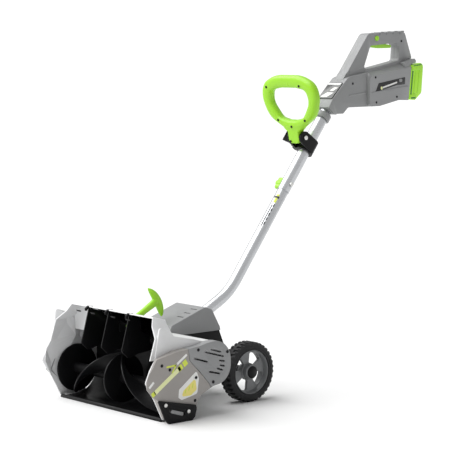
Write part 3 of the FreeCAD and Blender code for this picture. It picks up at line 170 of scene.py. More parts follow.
def vary_roughness(tree, shader, noise, rough, spread):
    """A noise that moves the roughness by spread each way."""
    low, high = rough - spread, rough + spread
    span = add(tree, "ShaderNodeMapRange", From_Min=0.3, From_Max=0.7, To_Min=low, To_Max=high)
    tree.links.new(noise.outputs["Fac"], span.inputs["Value"])
    tree.links.new(span.outputs["Result"], shader.inputs["Roughness"])


def add_grain(tree, shader, noise, depth, strength):
    """A noise that roughens the surface's slope, depth metres high."""
    bump = add(tree, "ShaderNodeBump", Strength=strength, Distance=depth)
    tree.links.new(noise.outputs["Fac"], bump.inputs["Height"])
    tree.links.new(bump.outputs["Normal"], shader.inputs["Normal"])


def moulded(name, colour, rough=0.45, spread=0.06, tone=0.05, grain_scale=1300.0, grain_depth=0.00008,
            wear=0.25, gloss=0.5, edge=None):
    """Injection-moulded plastic: fine texture, slight tone drift, worn corners."""
    material, tree, shader = start_material(name)
    shader.inputs["Specular IOR Level"].default_value = gloss
    ramp = vary_colour(tree, shader, colour, tone, 9.0)
    wear_edges(tree, shader, ramp, edge or [min(c * 1.6 + 0.05, 1) for c in colour], wear)
    vary_roughness(tree, shader, place_noise(tree, 25.0, 3.0), rough, spread)
    add_grain(tree, shader, place_noise(tree, grain_scale), grain_depth, 0.5)
    return material


def metal(name, colour, rough=0.3, spread=0.08, stretch=(1.0, 1.0, 30.0), tone=0.05):
    """Drawn or plated metal with fine lines along one axis."""
    material, tree, shader = start_material(name)
    shader.inputs["Metallic"].default_value = 1.0
    ramp = vary_colour(tree, shader, colour, tone, 14.0)
    wear_edges(tree, shader, ramp, [min(c * 1.3 + 0.05, 1) for c in colour], 0.15)
    spot = add(tree, "ShaderNodeTexCoord")
    turn = add(tree, "ShaderNodeMapping")
    turn.inputs["Scale"].default_value = stretch
    noise = add(tree, "ShaderNodeTexNoise", Scale=60.0, Detail=3.0)
    tree.links.new(spot.outputs["Object"], turn.inputs["Vector"])
    tree.links.new(turn.outputs["Vector"], noise.inputs["Vector"])
    vary_roughness(tree, shader, noise, rough, spread)
    add_grain(tree, shader, noise, 0.00004, 0.2)
    return material


LIGHT = moulded("light_shell", (0.78, 0.785, 0.79), 0.38)
BROWN = moulded("side_cover_grey", (0.335, 0.315, 0.298), 0.42)
GREY = moulded("mid_grey", (0.27, 0.274, 0.278), 0.40)
RIM = moulded("rim_grey", (0.19, 0.195, 0.20), 0.40)
LIME = moulded("lime", (0.33, 0.70, 0.02), 0.32, grain_depth=0.00003)
PACK = moulded("battery_lime", (0.46, 0.92, 0.035), 0.25, gloss=0.6, grain_depth=0.00002, wear=0.9,
               edge=(0.04, 0.16, 0.03))
SEAM = moulded("battery_seam", (0.04, 0.20, 0.03), 0.30, tone=0.1)
BLACK = moulded("black_plastic", (0.005, 0.005, 0.0055), 0.36, wear=0.06, gloss=0.15)
TYRE = moulded("tyre", (0.014, 0.014, 0.015), 0.6, grain_scale=500.0, grain_depth=0.0002, wear=0.15,
               gloss=0.3)
BELT = moulded("belt_rubber", (0.02, 0.02, 0.02), 0.7)
ALUMINIUM = metal("aluminium", (0.50, 0.51, 0.525), 0.30)
STEEL = metal("zinc_steel", (0.62, 0.62, 0.60), 0.32)
SCREW = metal("dark_screw", (0.02, 0.02, 0.022), 0.45)
BOARD = moulded("circuit_board", (0.02, 0.16, 0.07), 0.35)
CELL = moulded("cell_wrap", (0.08, 0.20, 0.45), 0.35)
PRINT_WHITE = moulded("print_white", (0.80, 0.80, 0.78), 0.40, tone=0.03)
PRINT_LIME = moulded("print_lime", (0.60, 0.72, 0.06), 0.40, tone=0.06)
PRINT_PALE = moulded("print_pale", (0.80, 0.84, 0.40), 0.40, tone=0.06)
PRINT_YELLOW = moulded("print_yellow", (0.85, 0.72, 0.18), 0.40, tone=0.06)
PRINT_DARK = moulded("print_dark", (0.012, 0.012, 0.013), 0.30, tone=0.1)
WINDOW = moulded("dark_window", (0.05, 0.052, 0.05), 0.16, gloss=0.7, grain_depth=0.00001)
SLOTS = {"light_shell": LIGHT, "side_cover_grey": BROWN, "mid_grey": GREY, "rim_grey": RIM, "lime": LIME,
         "black_plastic": BLACK, "tyre": TYRE, "belt_rubber": BELT, "aluminium": ALUMINIUM,
         "zinc_steel": STEEL, "dark_screw": SCREW, "circuit_board": BOARD, "cell_wrap": CELL}
SLOT_OF = {part["node"]: part["material_slot"] for part in frame["record"]["subparts"]}
BODIES = frame["record"]["behaviour"]["bodies"]
BODY_OF = {node: body for body, nodes in BODIES.items() for node in nodes}


# ---------------------------------------------------------------- pieces
def link(piece, body, slot, *stands_for):
    """Put a finished piece in the scene, on its body; its slot is not used."""
    if piece.name not in bpy.context.scene.collection.objects:
        bpy.context.scene.collection.objects.link(piece)
    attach(piece, body)
    if stands_for:
        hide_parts(*stands_for)
    return piece


def settle(piece):
    """Apply a piece's modifiers, so that its mesh is final."""
    bpy.context.view_layer.update()
    graph = bpy.context.evaluated_depsgraph_get()
    mesh = bpy.data.meshes.new_from_object(piece.evaluated_get(graph))
    piece.modifiers.clear()
    piece.data = mesh
    return piece


def soften(piece, width, segments=2, angle=32.0):
    """Round the sharp edges by width in millimetres and shade smooth between the sharp ones."""
    if width:
        bevel = piece.modifiers.new("edges", "BEVEL")
        bevel.width = width * MM
        bevel.segments = segments
        bevel.limit_method = "ANGLE"
        bevel.angle_limit = math.radians(angle)
    settle(piece)
    piece.data.shade_smooth()
    piece.data.set_sharp_from_angle(angle=math.radians(angle))
    return piece


def dress(node, width=0.8, segments=2, angle=32.0, material=None):
    """The CAD node's own shape with rounded edges, standing for the node."""
    mesh = NODES[node].data.copy()
    work = bmesh.new()
    work.from_mesh(mesh)
    bmesh.ops.remove_doubles(work, verts=work.verts, dist=2e-6)
    bmesh.ops.dissolve_limit(work, angle_limit=math.radians(0.6), verts=work.verts, edges=work.edges)
    work.to_mesh(mesh)
    work.free()
    mesh.materials.clear()
    mesh.materials.append(material or SLOTS[SLOT_OF[node]])
    piece = bpy.data.objects.new(node + "_finish", mesh)
    bpy.context.scene.collection.objects.link(piece)
    soften(piece, width, segments, angle)
    return link(piece, BODY_OF[node], SLOT_OF[node], node)


# ---------------------------------------------------------------- shapes in millimetres from the axle
def at(x, y, z):
    """A point in metres from millimetres: y from the wheel axle, z from the ground."""
    return Vector((x * MM, AXLE.y + y * MM, z * MM))


def rounded(corners, steps=8):
    """A dense outline along corners (u, v, radius), each rounded by an arc."""
    outline = []
    for i, corner in enumerate(corners):
        point = Vector(corner[:2])
        radius = corner[2] if len(corner) > 2 else 0.0
        before = Vector(corners[i - 1][:2]) - point
        after = Vector(corners[(i + 1) % len(corners)][:2]) - point
        half = before.angle(after) / 2.0
        if radius <= 0 or half > math.radians(89):
            outline.append(point)
            continue
        reach = min(radius / math.tan(half), before.length * 0.5, after.length * 0.5)
        radius = reach * math.tan(half)
        before.normalize()
        after.normalize()
        centre = point + (before + after).normalized() * (radius / math.sin(half))
        first, last = point + before * reach - centre, point + after * reach - centre
        spokes = [first.lerp(last, step / steps) for step in range(steps + 1)]
        outline += [centre + spoke.normalized() * radius for spoke in spokes]
    return outline


def start_piece(name, work, materials):
    """A mesh object from a bmesh, which is freed."""
    bmesh.ops.recalc_face_normals(work, faces=work.faces)
    mesh = bpy.data.meshes.new(name)
    work.to_mesh(mesh)
    work.free()
    for material in materials:
        mesh.materials.append(material)
    piece = bpy.data.objects.new(name, mesh)
    bpy.context.scene.collection.objects.link(piece)
    return piece


def solid_between(work, near, far):
    """Close a solid between two loops with as many points each."""
    first = [work.verts.new(p) for p in near]
    second = [work.verts.new(p) for p in far]
    count = len(first)
    work.faces.new(first)
    work.faces.new(second[::-1])
    for i in range(count):
        j = (i + 1) % count
        work.faces.new((first[i], second[i], second[j], first[j]))


def side_plate(name, corners, x_near, x_far, material, body, bevel=0.3, slot=None):
    """A plate that lies against a side face: an outline in y and z, between two places along x."""
    work = bmesh.new()
    outline = rounded(corners)
    near, far = ([at(x, p.x, p.y) for p in outline] for x in (x_near, x_far))
    solid_between(work, near, far)
    piece = soften(start_piece(name, work, [material]), bevel)
    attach(piece, body)
    return piece if slot else piece


def band(first, last, width, radius=None):
    """Corners of a straight band between two points."""
    way = (Vector(last) - Vector(first)).normalized()
    across = Vector((-way.y, way.x)) * width / 2.0
    r = width * 0.45 if radius is None else radius
    spots = (Vector(first) - across, Vector(last) - across, Vector(last) + across, Vector(first) + across)
    return [(p.x, p.y, r) for p in spots]


def section_point(k, sides, power=2.0):
    """Point k of a unit superellipse with so many sides: round at power 2, squarer above it."""
    turn = math.tau * k / sides
    c, s = math.cos(turn), math.sin(turn)
    grow = (abs(c) ** power + abs(s) ** power) ** (-1.0 / power)
    return c * grow, s * grow


def skin(work, rings, closed=False):
    """Quads from each ring of points to the next, and from the last to the first where it is closed."""
    for one, two in zip(rings, rings[1:] + rings[:1] if closed else rings[1:]):
        for k in range(len(one)):
            m = (k + 1) % len(one)
            work.faces.new((one[k], one[m], two[m], two[k]))


def add_tube(work, centres, sizes, normal, sides=24):
    """A capped sweep; sizes holds each section's half height across the path and half width along normal."""
    rings = []
    for i, centre in enumerate(centres):
        ahead = (centres[min(i + 1, len(centres) - 1)] - centres[max(i - 1, 0)]).normalized()
        across = ahead.cross(normal).normalized()
        half_a, half_b = sizes[i]
        ring = []
        for k in range(sides):
            c, s = section_point(k, sides)
            ring.append(work.verts.new(centre + across * (c * half_a) + normal * (s * half_b)))
        rings.append(ring)
    skin(work, rings)
    work.faces.new(rings[0][::-1])
    work.faces.new(rings[-1])


def melt(piece, voxel, rounds, keep):
    """Fuse overlapping bodies of one piece into a single smooth skin, with a share of its faces kept."""
    remesh = piece.modifiers.new("fuse", "REMESH")
    remesh.mode = "VOXEL"
    remesh.voxel_size = voxel * MM
    relax = piece.modifiers.new("relax", "SMOOTH")
    relax.factor = 0.5
    relax.iterations = rounds
    fewer = piece.modifiers.new("fewer", "DECIMATE")
    fewer.ratio = keep
    settle(piece)
    piece.data.shade_smooth()
    return piece


def paint(piece, material, choose):
    """Give another material to the faces chosen by their centre (mm from the axle) and normal."""
    piece.data.materials.append(material)
    index = len(piece.data.materials) - 1
    origin = at(0, 0, 0)
    for face in piece.data.polygons:
        if choose((face.center - origin) / MM, face.normal):
            face.material_index = index
    return piece


# ---------------------------------------------------------------- scoop
def split(piece, point, normal):
    """Cut a piece's faces along a plane, without opening it."""
    work = bmesh.new()
    work.from_mesh(piece.data)
    everything = work.verts[:] + work.edges[:] + work.faces[:]
    bmesh.ops.bisect_plane(work, geom=everything, plane_co=point, plane_no=normal)
    work.to_mesh(piece.data)
    work.free()


def make_hood_piece():
    """Light outside and black inside, except for its left end, whose upper part leans inwards."""
    hood = dress("hood", 1.6, 3)
    black_from = -95.0
    lean, lean_side, lean_foot, lean_height = 24.0, -160.0, 200.0, 45.0
    for vertex in hood.data.vertices:
        rise = vertex.co.z / MM - lean_foot
        if vertex.co.x < lean_side * MM and rise > 0:
            vertex.co.x += lean * MM * min(rise / lean_height, 1.0)
    split(hood, at(black_from, 0, 0), Vector((1, 0, 0)))

    def inner(c, n):
        """Whether a face looks at the scoop's middle line."""
        aim = Vector((max(-150.0, min(150.0, c.x)), -300.0, 150.0)) - c
        return n.dot(aim) > 0 and c.x > black_from

    paint(hood, BLACK, inner)
    tab_top, tab_foot, tab_thickness = (-343, 237), (-341, 233), 1.2
    for i, x in enumerate((-100, -41, 41, 100)):
        near = [at(x - 10, *tab_top), at(x + 10, *tab_top), at(x + 8, *tab_foot), at(x - 8, *tab_foot)]
        far = [p - Vector((0, tab_thickness * MM, 0)) for p in near]
        work = bmesh.new()
        solid_between(work, near, far)
        link(soften(start_piece(f"hood_tab_{i}", work, [BLACK]), 0.4), "chassis", "black_plastic")
    roof, squash = 246.0 * MM, 0.1
    knuckle_path = [(-334, 236), (-333, 241), (-329, 244.5), (-321, 245.5)]
    knuckle_sizes = [(3 * MM, 3 * MM), (4 * MM, 4.2 * MM), (4 * MM, 4.2 * MM), (2.5 * MM, 3 * MM)]
    for i, word in enumerate(("left", "middle", "right")):
        vane = dress(f"vane_{word}", 0.8)
        for vertex in vane.data.vertices:
            vertex.co.z = min(vertex.co.z, roof + (vertex.co.z - roof) * squash)
        x = middle(f"vane_{word}").x / MM
        work = bmesh.new()
        add_tube(work, [at(x, y, z) for y, z in knuckle_path], knuckle_sizes, Vector((1, 0, 0)), 16)
        link(soften(start_piece(f"vane_knuckle_{i}", work, [BLACK]), 1.0), "chassis", "black_plastic")
    return {"hood", "vane_left", "vane_middle", "vane_right"}


# Corners of the folds, each a place (y, z) and its rise from the panel, and the faces between them.
LEFT_FACETS = [((-323, 6), 0), ((-350, 56), 2), ((-372, 98), 9), ((-364, 127), 2), ((-355, 150), 9),
               ((-331, 226), 3), ((-306, 212), 9), ((-290, 203), 10), ((-286, 157), 11), ((-303, 124), 7),
               ((-350, 90), 0), ((-300, 60), 0), ((-262, 40), 0), ((-262, 150), 0), ((-262, 190), 0),
               ((-250, 8), 0)]
LEFT_FACES = [(0, 1, 11), (1, 2, 10), (1, 10, 11), (2, 3, 10), (3, 9, 10), (3, 4, 8), (3, 8, 9), (4, 5, 8),
              (5, 6, 8), (6, 7, 8), (7, 14, 13), (7, 13, 8), (8, 13, 9), (9, 13, 12), (9, 12, 11),
              (9, 11, 10), (0, 11, 12), (0, 12, 15)]
# The flare starts at a place along y; its slope grows by EAR_FLARE over the ear's height.
FLARE_FROM, FLARE, EAR_FLARE = -290.0, 0.14, 0.10
EAR_FOOT, EAR_HEIGHT = 150.0, 75.0


def make_left_lining():
    """The left side panel, leaning outwards in front, with raised folds on its inner face."""
    inner = NODES["side_panel_left"].data
    face_x = max(v.co.x for v in inner.vertices) / MM
    work = bmesh.new()
    top = [work.verts.new(at(face_x + 0.3 + rise, y, z)) for (y, z), rise in LEFT_FACETS]
    for face in LEFT_FACES:
        work.faces.new([top[i] for i in face])
    lining = start_piece("left_lining", work, [LIGHT])
    panel = dress("side_panel_left", 1.2)
    split(panel, at(0, FLARE_FROM, 0), Vector((0, 1, 0)))
    for piece in (panel, lining):
        for vertex in piece.data.vertices:
            forward = max(at(0, FLARE_FROM, 0).y - vertex.co.y, 0.0)
            height = min(max((vertex.co.z / MM - EAR_FOOT) / EAR_HEIGHT, 0.0), 1.0)
            vertex.co.x -= forward * (FLARE + EAR_FLARE * height)
    thick = lining.modifiers.new("thick", "SOLIDIFY")
    thick.thickness = 1.2 * MM
    thick.offset = 0.0
    settle(lining)
    soften(lining, 0.5, 2, 12.0)
    link(lining, "chassis", "light_shell")


# ---------------------------------------------------------------- drive cover prints
def make_cover_details():
    """The front cover with a light leading edge, and its plain prints."""
    node = NODES["drive_cover_front"]
    face_x = max((node.matrix_world @ vertex.co).x for vertex in node.data.vertices) / MM
    near, far = face_x - 0.3, face_x + 0.25
    cover = dress("drive_cover_front", 1.2, 3)
    paint(cover, LIGHT, lambda c, n: n.y < -0.35 and n.x > 0.2 and c.y < -335)
    prints = {
        "stripe": (band((-366, 78), (-288, 130), 11, 1), PRINT_PALE),
        "stripe_foot": (band((-374, 73), (-364, 79.5), 11, 1), PRINT_LIME),
        "stripe_head_1": (band((-294, 126), (-282, 134), 13, 1), PRINT_LIME),
        "stripe_head_2": (band((-279, 136), (-268, 143.5), 14, 1), PRINT_LIME),
        "hook": (band((-330, 136), (-301, 138), 4, 1.5), PRINT_LIME),
        "hook_leg": (band((-301, 139), (-313, 120), 4, 1.5), PRINT_LIME),
        "mark_upper": (band((-298, 140), (-268, 160), 6, 1), PRINT_WHITE),
        "mark_lower": (band((-382, 92), (-368, 105), 6, 1), PRINT_WHITE),
    }
    patch = [(-294, 59, 2), (-292, 78, 3), (-238, 117, 4), (-231, 98, 8), (-236, 62, 8), (-284, 52, 6)]
    prints["patch"] = (patch, PRINT_WHITE)
    for label, (corners, material) in prints.items():
        side_plate("print_" + label, corners, near, far, material, "chassis", 0.0)
    core = [(-284, 60, 4), (-279, 74, 4), (-242, 100, 5), (-238, 72, 6), (-256, 60, 5)]
    side_plate("print_patch_core", core, near, far + 0.15, PRINT_YELLOW, "chassis", 0.0)
    for i in range(3):
        start = -274 + 11 * i
        bar = band((start, 67 + 5 * i), (start + 3, 76 + 6 * i), 3, 0.5)
        side_plate(f"print_patch_bar_{i}", bar, near, far + 0.3, PRINT_LIME, "chassis", 0.0)
    return {"drive_cover_front"}


# ---------------------------------------------------------------- D-handle and steering lever
PIVOT = middle("pivot_bolt")
LOOP_LEAN = math.radians(11)
LOOP_UP = Vector((0, -math.sin(LOOP_LEAN), math.cos(LOOP_LEAN)))
LOOP_BACK = Vector((0, math.cos(LOOP_LEAN), math.sin(LOOP_LEAN)))
LOOP_EDGE = [(-19.5, 20, 4), (-34, 27, 14), (-90, 60, 60), (-107, 112, 60), (-97, 149, 48), (-50, 170, 110)]
LOOP_EYE = [(-14, 50, 12), (-44, 56, 22), (-74, 98, 30), (-66, 130, 22), (-28, 136, 40)]


def on_loop(u, v, w):
    return Vector((u * MM, PIVOT.y, PIVOT.z)) + LOOP_BACK * (v * MM) + LOOP_UP * (w * MM)


def mirrored(corners):
    return list(corners) + [(-c[0],) + tuple(c[1:]) for c in reversed(corners)]


def reach_of(outline, centre, way):
    """How far an outline lies from centre along way."""
    best = 0.0
    for i, a in enumerate(outline):
        b = outline[i - 1]
        edge = b - a
        cross = way.x * edge.y - way.y * edge.x
        if abs(cross) < 1e-9:
            continue
        t = ((a.x - centre.x) * edge.y - (a.y - centre.y) * edge.x) / cross
        k = ((a.x - centre.x) * way.y - (a.y - centre.y) * way.x) / cross
        if t > 0 and -1e-6 <= k <= 1 + 1e-6:
            best = max(best, t)
    return best


def make_loop_piece():
    """One soft ring of squarish oval section and a flat neck, fused."""
    edge, eye, heart = rounded(mirrored(LOOP_EDGE)), rounded(mirrored(LOOP_EYE)), Vector((0, 95))
    shift, half_depth, half_neck = -6.0, 13.0, 11.5
    turns, sides, squareness = 120, 28, 2.6
    work = bmesh.new()
    rings = []
    for i in range(turns):
        turn = math.tau * i / turns
        way = Vector((math.sin(turn), math.cos(turn)))
        inside, outside = reach_of(eye, heart, way), reach_of(edge, heart, way)
        middle_way, half = (inside + outside) / 2, (outside - inside) / 2
        ring = []
        for k in range(sides):
            c, s = section_point(k, sides, squareness)
            spot = heart + way * (middle_way + c * half)
            ring.append(work.verts.new(on_loop(spot.x, shift + s * half_depth, spot.y)))
        rings.append(ring)
    skin(work, rings, closed=True)
    neck_side = [(-12, -13), (-19.5, -6), (-19.5, 18), (-32, 27), (-32, 44)]
    neck = mirrored(neck_side)
    near, far = ([on_loop(u, shift + v, w) for u, w in neck] for v in (-half_neck, half_neck))
    solid_between(work, near, far)
    piece = melt(start_piece("loop_grip", work, [LIME]), 1.5, 8, 0.5)
    return link(piece, "loop_handle", "lime", "loop_shell_front", "loop_shell_rear")


def make_lever_piece():
    """A round stem that swells into a leaf-shaped crossbar."""
    foot, head = at(0, -276, 199), at(0, -172, 257)
    way = (head - foot).normalized()
    across = Vector((0, -way.z, way.y))
    work = bmesh.new()
    stem = [foot.lerp(head, t) for t in (0, 0.3, 0.6, 0.85, 1.0)]
    stem_sizes = [(8.5, 8.5), (8, 8), (8, 8), (9.5, 9), (13, 10)]
    add_tube(work, stem, [(a * MM, b * MM) for a, b in stem_sizes], Vector((1, 0, 0)))
    half_bar, sag, sink, count = 43, 9, 1.5, 18
    bar, bar_sizes = [], []
    for i in range(count + 1):
        t = 2.0 * i / count - 1.0
        bar.append(head + across * (t * half_bar * MM) - way * (abs(t) ** 2 * sag * MM) - way * (sink * MM))
        end = max(0.0, 1.0 - abs(t) ** 6) ** 0.5
        half_height, half_width = 3.2 + 7.2 * (1 - t * t), 11.0 - 3.0 * t * t
        bar_sizes.append((half_height * MM * max(end, 0.25), half_width * MM * max(end, 0.3)))
    add_tube(work, bar, bar_sizes, Vector((1, 0, 0)))
    piece = melt(start_piece("steering_grip", work, [LIME]), 0.9, 5, 0.6)
    fork = [(-296, 190, 3), (-296, 212, 4), (-270, 214, 4), (-256, 206, 3), (-254, 196, 3)]
    side_plate("steering_fork", fork, 1.6, 7.0, BLACK, "deflector", 0.8, "black_plastic")
    return link(piece, "deflector", "lime", "steering_lever")


# ---------------------------------------------------------------- rear handle
TUBE_PITCH = math.radians(53.3)
GRIP_SIDE = 17.3


def make_handle_shells():
    """The two shells, with a short end of the neck and sloping shoulders over the battery bay."""
    up = Vector((0, math.cos(TUBE_PITCH), math.sin(TUBE_PITCH)))
    neck_end, neck_cut, collar_shift = 822.0, 0.75, 14.0
    bay_front, bay_rear, bay_side = 526.0, 702.0, 30.0
    top_height, top_from, top_slope = 820.0, 534.0, 0.159
    shoulder_height, shoulder_drop = 8.0, 12.0
    for word in ("left", "right"):
        shell = dress(f"handle_shell_{word}", 2.4, 3)
        for vertex in shell.data.vertices:
            here = (vertex.co - at(0, 0, 0)) / MM
            short = neck_end - here.dot(up)
            if short > 0:
                vertex.co += up * (short * neck_cut * MM)
            shoulder = top_height + (here.y - top_from) * top_slope - shoulder_height
            if bay_front < here.y < bay_rear and abs(here.x) > bay_side and here.z > shoulder:
                vertex.co.z -= shoulder_drop * MM
    collar = dress("handle_collar", 0.8)
    for vertex in collar.data.vertices:
        vertex.co += up * (collar_shift * MM)
    return {"handle_shell_left", "handle_shell_right", "handle_collar"}


def grey_plate(name, corners, x_near, x_far, bevel):
    """A mid-grey plate on the main body."""
    side_plate(name, corners, x_near, x_far, GREY, "chassis", bevel, "mid_grey")


def make_handle_details():
    """Ribs and a plain name plate on each side, ledges beside the battery latch, and ribs under the hand
    with dark plates between them as painted shade for the notches.
    """
    plate = [(556, 766, 1), (568, 790, 2), (672, 806, 2), (671, 786, 1), (640, 784, 1)]
    plate_marks = (("line", band((584, 778), (640, 792), 4.5, 2), 0.8, PRINT_WHITE),
                   ("eye_front", band((576, 776), (583, 777.5), 9, 4), 0.9, PRINT_PALE))
    ledge = [(676, 826, 2), (672, 846, 3), (714, 857, 3), (719, 850, 2), (718, 845.5, 1), (700, 842, 1),
             (698, 828, 1)]
    sunk = 0.6
    for word, side in (("right", 1), ("left", -1)):
        neck, bay = 29.0 * side, 40.0 * side
        low = bay - sunk * side
        rib_bay, rib_neck = band((542, 764), (684, 780), 4.0), band((466, 757), (532, 765), 4.0)
        grey_plate(f"handle_rib_bay_low_{word}", rib_bay, low, bay + 1.6 * side, 0.5)
        grey_plate(f"handle_rib_neck_{word}", rib_neck, neck - sunk * side, neck + 1.6 * side, 0.5)
        side_plate(f"handle_plate_{word}", plate, low, bay + 0.5 * side, PRINT_DARK, "chassis", 0.2)
        for label, corners, rise, material in plate_marks:
            name = f"handle_plate_{label}_{word}"
            side_plate(name, corners, low, bay + rise * side, material, "chassis", 0.2)
        eye = band((648, 796), (660, 798), 9, 4)
        grey_plate(f"handle_plate_eye_rear_{word}", eye, low, bay + 0.9 * side, 0.3)
    for word, side in (("right", 1), ("left", -1)):
        grey_plate(f"handle_ledge_{word}", ledge, 14.5 * side, 37.0 * side, 1.2)
    root = [(450, 794, 3), (464, 814, 6), (486, 836, 6), (492, 806, 3)]
    grey_plate("handle_root", root, -16.4, 16.4, 1.5)
    for i in range(4):
        y = 600 + 26 * i
        z = 927.5 + 0.05 * (y - 600)
        rib = [(y, z - 2, 1), (y + 3, z + 2.2, 2), (y + 14, z + 2.6, 2), (y + 17, z - 2, 1)]
        grey_plate(f"grip_rib_{i}", rib, -14.5, 14.5, 0.8)
        # Dark plates through the grip stand for the notches in its upper edges: their darkness is painted
        # shade, as no notch is cut.
        notch_shade = band((y - 6, z - 7), (y - 3, z), 4.5, 1.0)
        side_plate(f"grip_notch_shade_{i}", notch_shade, -GRIP_SIDE, GRIP_SIDE, RIM, "chassis", 0.3, "rim_grey")


def make_display():
    """A dark window with a light bar across its head and two plain slanted marks."""
    low, high = Vector((405.5, 749.6)), Vector((447.0, 791.9))
    way = (high - low).normalized()
    out = Vector((-way.y, way.x))
    length = (high - low).length

    def lay(name, corners, base, rise, material, bevel=0.3):
        """Corners are (x, distance up the panel); the plate stands from base to rise above the shell."""
        outline = rounded(corners)
        near = [at(p.x, *(low + way * p.y + out * base)) for p in outline]
        far = [at(p.x, *(low + way * p.y + out * rise)) for p in outline]
        work = bmesh.new()
        solid_between(work, near, far)
        piece = soften(start_piece(name, work, [material]), bevel)
        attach(piece, "chassis")
        return piece

    plate = [(-26, 0, 3), (26, 0, 3), (26, length, 3), (-26, length, 3)]
    frame_plate = lay("display_plate", plate, 0.0, 3.0, WINDOW, 0.8)
    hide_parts("display_panel")
    foot, head = length - 10, length - 3
    bar = [(-24, foot, 1.5), (24, foot, 1.5), (24, head, 1.5), (-24, head, 1.5)]
    lay("display_bar", bar, 2.6, 3.6, LIGHT, 0.4)
    lay("display_mark_low", [(-22, 4, 1), (4, 4, 1), (20, 21, 1), (-6, 21, 1)], 2.6, 3.3, PRINT_WHITE, 0.1)
    lay("display_mark_high", [(-2, 27, 1), (14, 27, 1), (22, 40, 1), (8, 40, 1)], 2.6, 3.3, PRINT_WHITE, 0.1)
    return {"display_panel"}


def make_battery_piece():
    """The pack with upright ribs on its back and sides, and dark seams round its sides."""
    dress("battery_case", 2.2, 3, 30.0, PACK)
    rib_foot, rib_head, rib_half, rib_rise, rib_gap = (736, 766), (742, 828), 3.2, 3.4, 14
    for i in range(5):
        x = rib_gap * (i - 2)
        left, right = x - rib_half, x + rib_half
        near = [at(left, *rib_foot), at(right, *rib_foot), at(right, *rib_head), at(left, *rib_head)]
        far = [p + Vector((0, rib_rise * MM, 0)) for p in near]
        work = bmesh.new()
        solid_between(work, near, far)
        link(soften(start_piece(f"battery_rib_{i}", work, [PACK]), 1.2), "battery", "lime")
    shoulder = [(699, 822, 2), (699, 838, 2), (738, 843, 4), (742, 827, 3)]
    foot = [(690, 745, 2), (691, 757, 2), (714, 761, 3), (714, 746, 3)]
    seam = band((694, 748), (704, 834), 4.0, 1.5)
    seam_foot = band((694, 747.5), (714, 748), 4.5, 1.8)
    seam_top = band((704, 836.5), (736, 840.5), 2.8, 1.2)
    grooves = [band((y - 1, z), (y + 7, 826), 3.4) for y, z in ((708, 756), (722, 760))]
    for side, word in ((1, "right"), (-1, "left")):
        plates = [(f"groove_{word}_{i}", groove, 39.2, 41.0, PACK, 0.8) for i, groove in enumerate(grooves)]
        plates += [(f"shoulder_{word}", shoulder, 38.5, 41.8, PACK, 1.0),
                   (f"foot_{word}", foot, 38.5, 41.4, PACK, 1.0),
                   (f"seam_{word}", seam, 39.4, 41.2, SEAM, 0.4),
                   (f"seam_foot_{word}", seam_foot, 39.4, 41.9, SEAM, 0.4),
                   (f"seam_top_{word}", seam_top, 39.4, 42.2, SEAM, 0.4)]
        for label, corners, near, far, material, bevel in plates:
            name = f"battery_{label}"
            side_plate(name, corners, near * side, far * side, material, "battery", bevel, "lime")
    return {"battery_case"}


def make_skid_details():
    """The grey strip seen through each skid's slot, and the small bolt heads."""
    bolts = dress("skid_bolts", 0.5)
    spots, shrink = {1: ((-338, 47), (-268, 24)), -1: ((-302, 48), (-250, 31))}, 0.72
    for vertex in bolts.data.vertices:
        here = (vertex.co - at(0, 0, 0)) / MM
        near_spots = spots[1 if here.x > 0 else -1]
        y, z = min(near_spots, key=lambda spot: math.hypot(here.y - spot[0], here.z - spot[1]))
        vertex.co = at(here.x, y + (here.y - y) * shrink, z + (here.z - z) * shrink)
    strips = (("right", 1, band((-320, 30), (-283, 19), 8.6)),
              ("left", -1, band((-286, 28), (-268, 22), 7.6)))
    for word, side, strip in strips:
        edge = max(abs(end.x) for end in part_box(f"skid_{word}")) / MM
        grey_plate(f"skid_strip_{word}", strip, side * (edge - 4.6), side * (edge - 0.4), 0.6)


# ---------------------------------------------------------------- wheels
def add_bead(work, heart, radius, thick, around=72, sides=10):
    """A ring of round section about the x axis: its radius and its section's own, in millimetres."""
    rings = []
    for i in range(around):
        turn = math.tau * i / around
        out = Vector((0, math.cos(turn), math.sin(turn)))
        ring = []
        for k in range(sides):
            c, s = section_point(k, sides)
            spot = out * ((radius + c * thick) * MM) + Vector((s * thick * MM, 0, 0))
            ring.append(work.verts.new(heart + spot))
        rings.append(ring)
    skin(work, rings, closed=True)


def make_wheel_details():
    """Raised rings on both faces of each wheel: two on the tyre, one at the rim's lip and one at its hub."""
    beads = (("bead", 57.5, 1.6, 19.6, "tyre"), ("wall", 63.5, 0.9, 19.9, "tyre"),
             ("lip", 54.0, 1.3, 16.8, "rim_grey"), ("hub", 20.5, 1.4, 4.6, "rim_grey"))
    for word, side in (("left", -1), ("right", 1)):
        hub = middle(f"tyre_{word}")
        for label, radius, thick, depth, slot in beads:
            for face in (-1, 1):
                work = bmesh.new()
                add_bead(work, hub + Vector((face * depth * MM, 0, 0)), radius, thick)
                where = "outer" if face == side else "inner"
                piece = start_piece(f"wheel_{word}_{label}_{where}", work, [SLOTS[slot]])
                piece.data.shade_smooth()
                link(piece, f"wheel_{word}", slot)


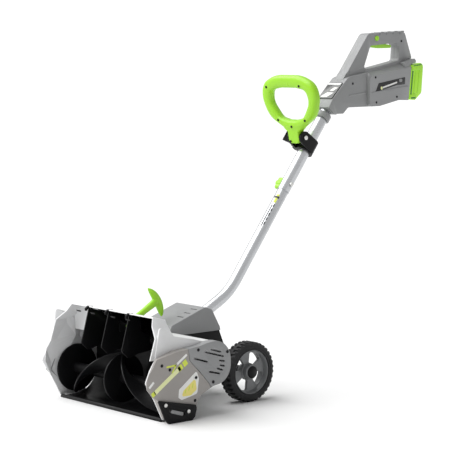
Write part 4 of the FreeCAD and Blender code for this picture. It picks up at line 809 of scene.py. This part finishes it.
# ---------------------------------------------------------------- tube stickers
def make_stickers():
    """Thin wrapped prints on the lower tube: plain dashes, with no lettering."""
    up = Vector((0, math.cos(TUBE_PITCH), math.sin(TUBE_PITCH)))
    out = Vector((0, -math.sin(TUBE_PITCH), math.cos(TUBE_PITCH)))
    joint = at(0, 252, 508.4)
    radius = 15.0

    def wrap(name, start, end, first, last, material, lift=0.2):
        """A patch of the tube's skin; angles run from its front towards +X."""
        work = bmesh.new()
        columns = 12
        layers = []
        for grow in (-0.2, lift):
            grid = []
            for d in (start, end):
                row = []
                for k in range(columns + 1):
                    turn = math.radians(first + (last - first) * k / columns)
                    spoke = out * math.cos(turn) + Vector((1, 0, 0)) * math.sin(turn)
                    row.append(joint + up * d * MM + spoke * (radius + grow) * MM)
                grid.append(row)
            layers.append(grid)
        loops = [layer[0] + layer[1][::-1] for layer in layers]
        first_loop = [work.verts.new(p) for p in loops[0]]
        second = [work.verts.new(p) for p in loops[1]]
        count = len(first_loop)
        for i in range(count):
            j = (i + 1) % count
            work.faces.new((first_loop[i], second[i], second[j], first_loop[j]))
        for k in range(columns):
            m = count - 1 - k
            work.faces.new((first_loop[k], first_loop[k + 1], first_loop[m - 1], first_loop[m]))
            work.faces.new((second[k], second[m], second[m - 1], second[k + 1]))
        piece = start_piece(name, work, [material])
        piece.data.shade_smooth()
        piece.data.set_sharp_from_angle(angle=math.radians(40))
        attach(piece, "chassis")

    wrap("tube_print_bar", -118, -52, 12, 24, PRINT_DARK)
    for i in range(5):
        wrap(f"tube_print_dash_{i}", -112 + 14 * i, -104 + 14 * i, 32, 44, PRINT_DARK)
    wrap("tube_print_lime", -44, -18, 12, 40, PRINT_LIME)
    wrap("tube_print_foot", -30, -24, -10, 50, PRINT_DARK, 0.25)


# Width of the rounded edges in millimetres and their segments, where they aren't the usual ones.
EDGES = {
    "body_deck": (2.0, 3), "side_panel_right": (1.2, 2), "drive_cover_rear": (1.0, 2),
    "end_cover_left": (1.2, 2), "tube_clamp": (1.6, 3), "cam_lever": (1.4, 3), "skid_right": (1.2, 2),
    "skid_left": (1.2, 2), "wing_knob": (1.4, 3), "rim_left": (0.9, 2), "rim_right": (0.9, 2),
    "tyre_left": (0.7, 2), "tyre_right": (0.7, 2), "auger_flights": (0.8, 2), "under_frame": (1.4, 2),
    "motor_hump": (5.0, 4),
}


def make_pieces():
    """Every custom piece; gives back the CAD nodes that are dressed or replaced already."""
    done = make_hood_piece() | make_cover_details() | make_display() | make_battery_piece()
    done |= make_handle_shells()
    make_left_lining()
    make_loop_piece()
    make_lever_piece()
    make_handle_details()
    make_skid_details()
    make_wheel_details()
    make_stickers()
    return done | {"loop_shell_front", "loop_shell_rear", "steering_lever", "side_panel_left", "skid_bolts"}


make_camera()
make_floor()
make_light()
special = make_pieces()
for name in sorted(set(NODES) - special):
    dress(name, *EDGES.get(name, ()))
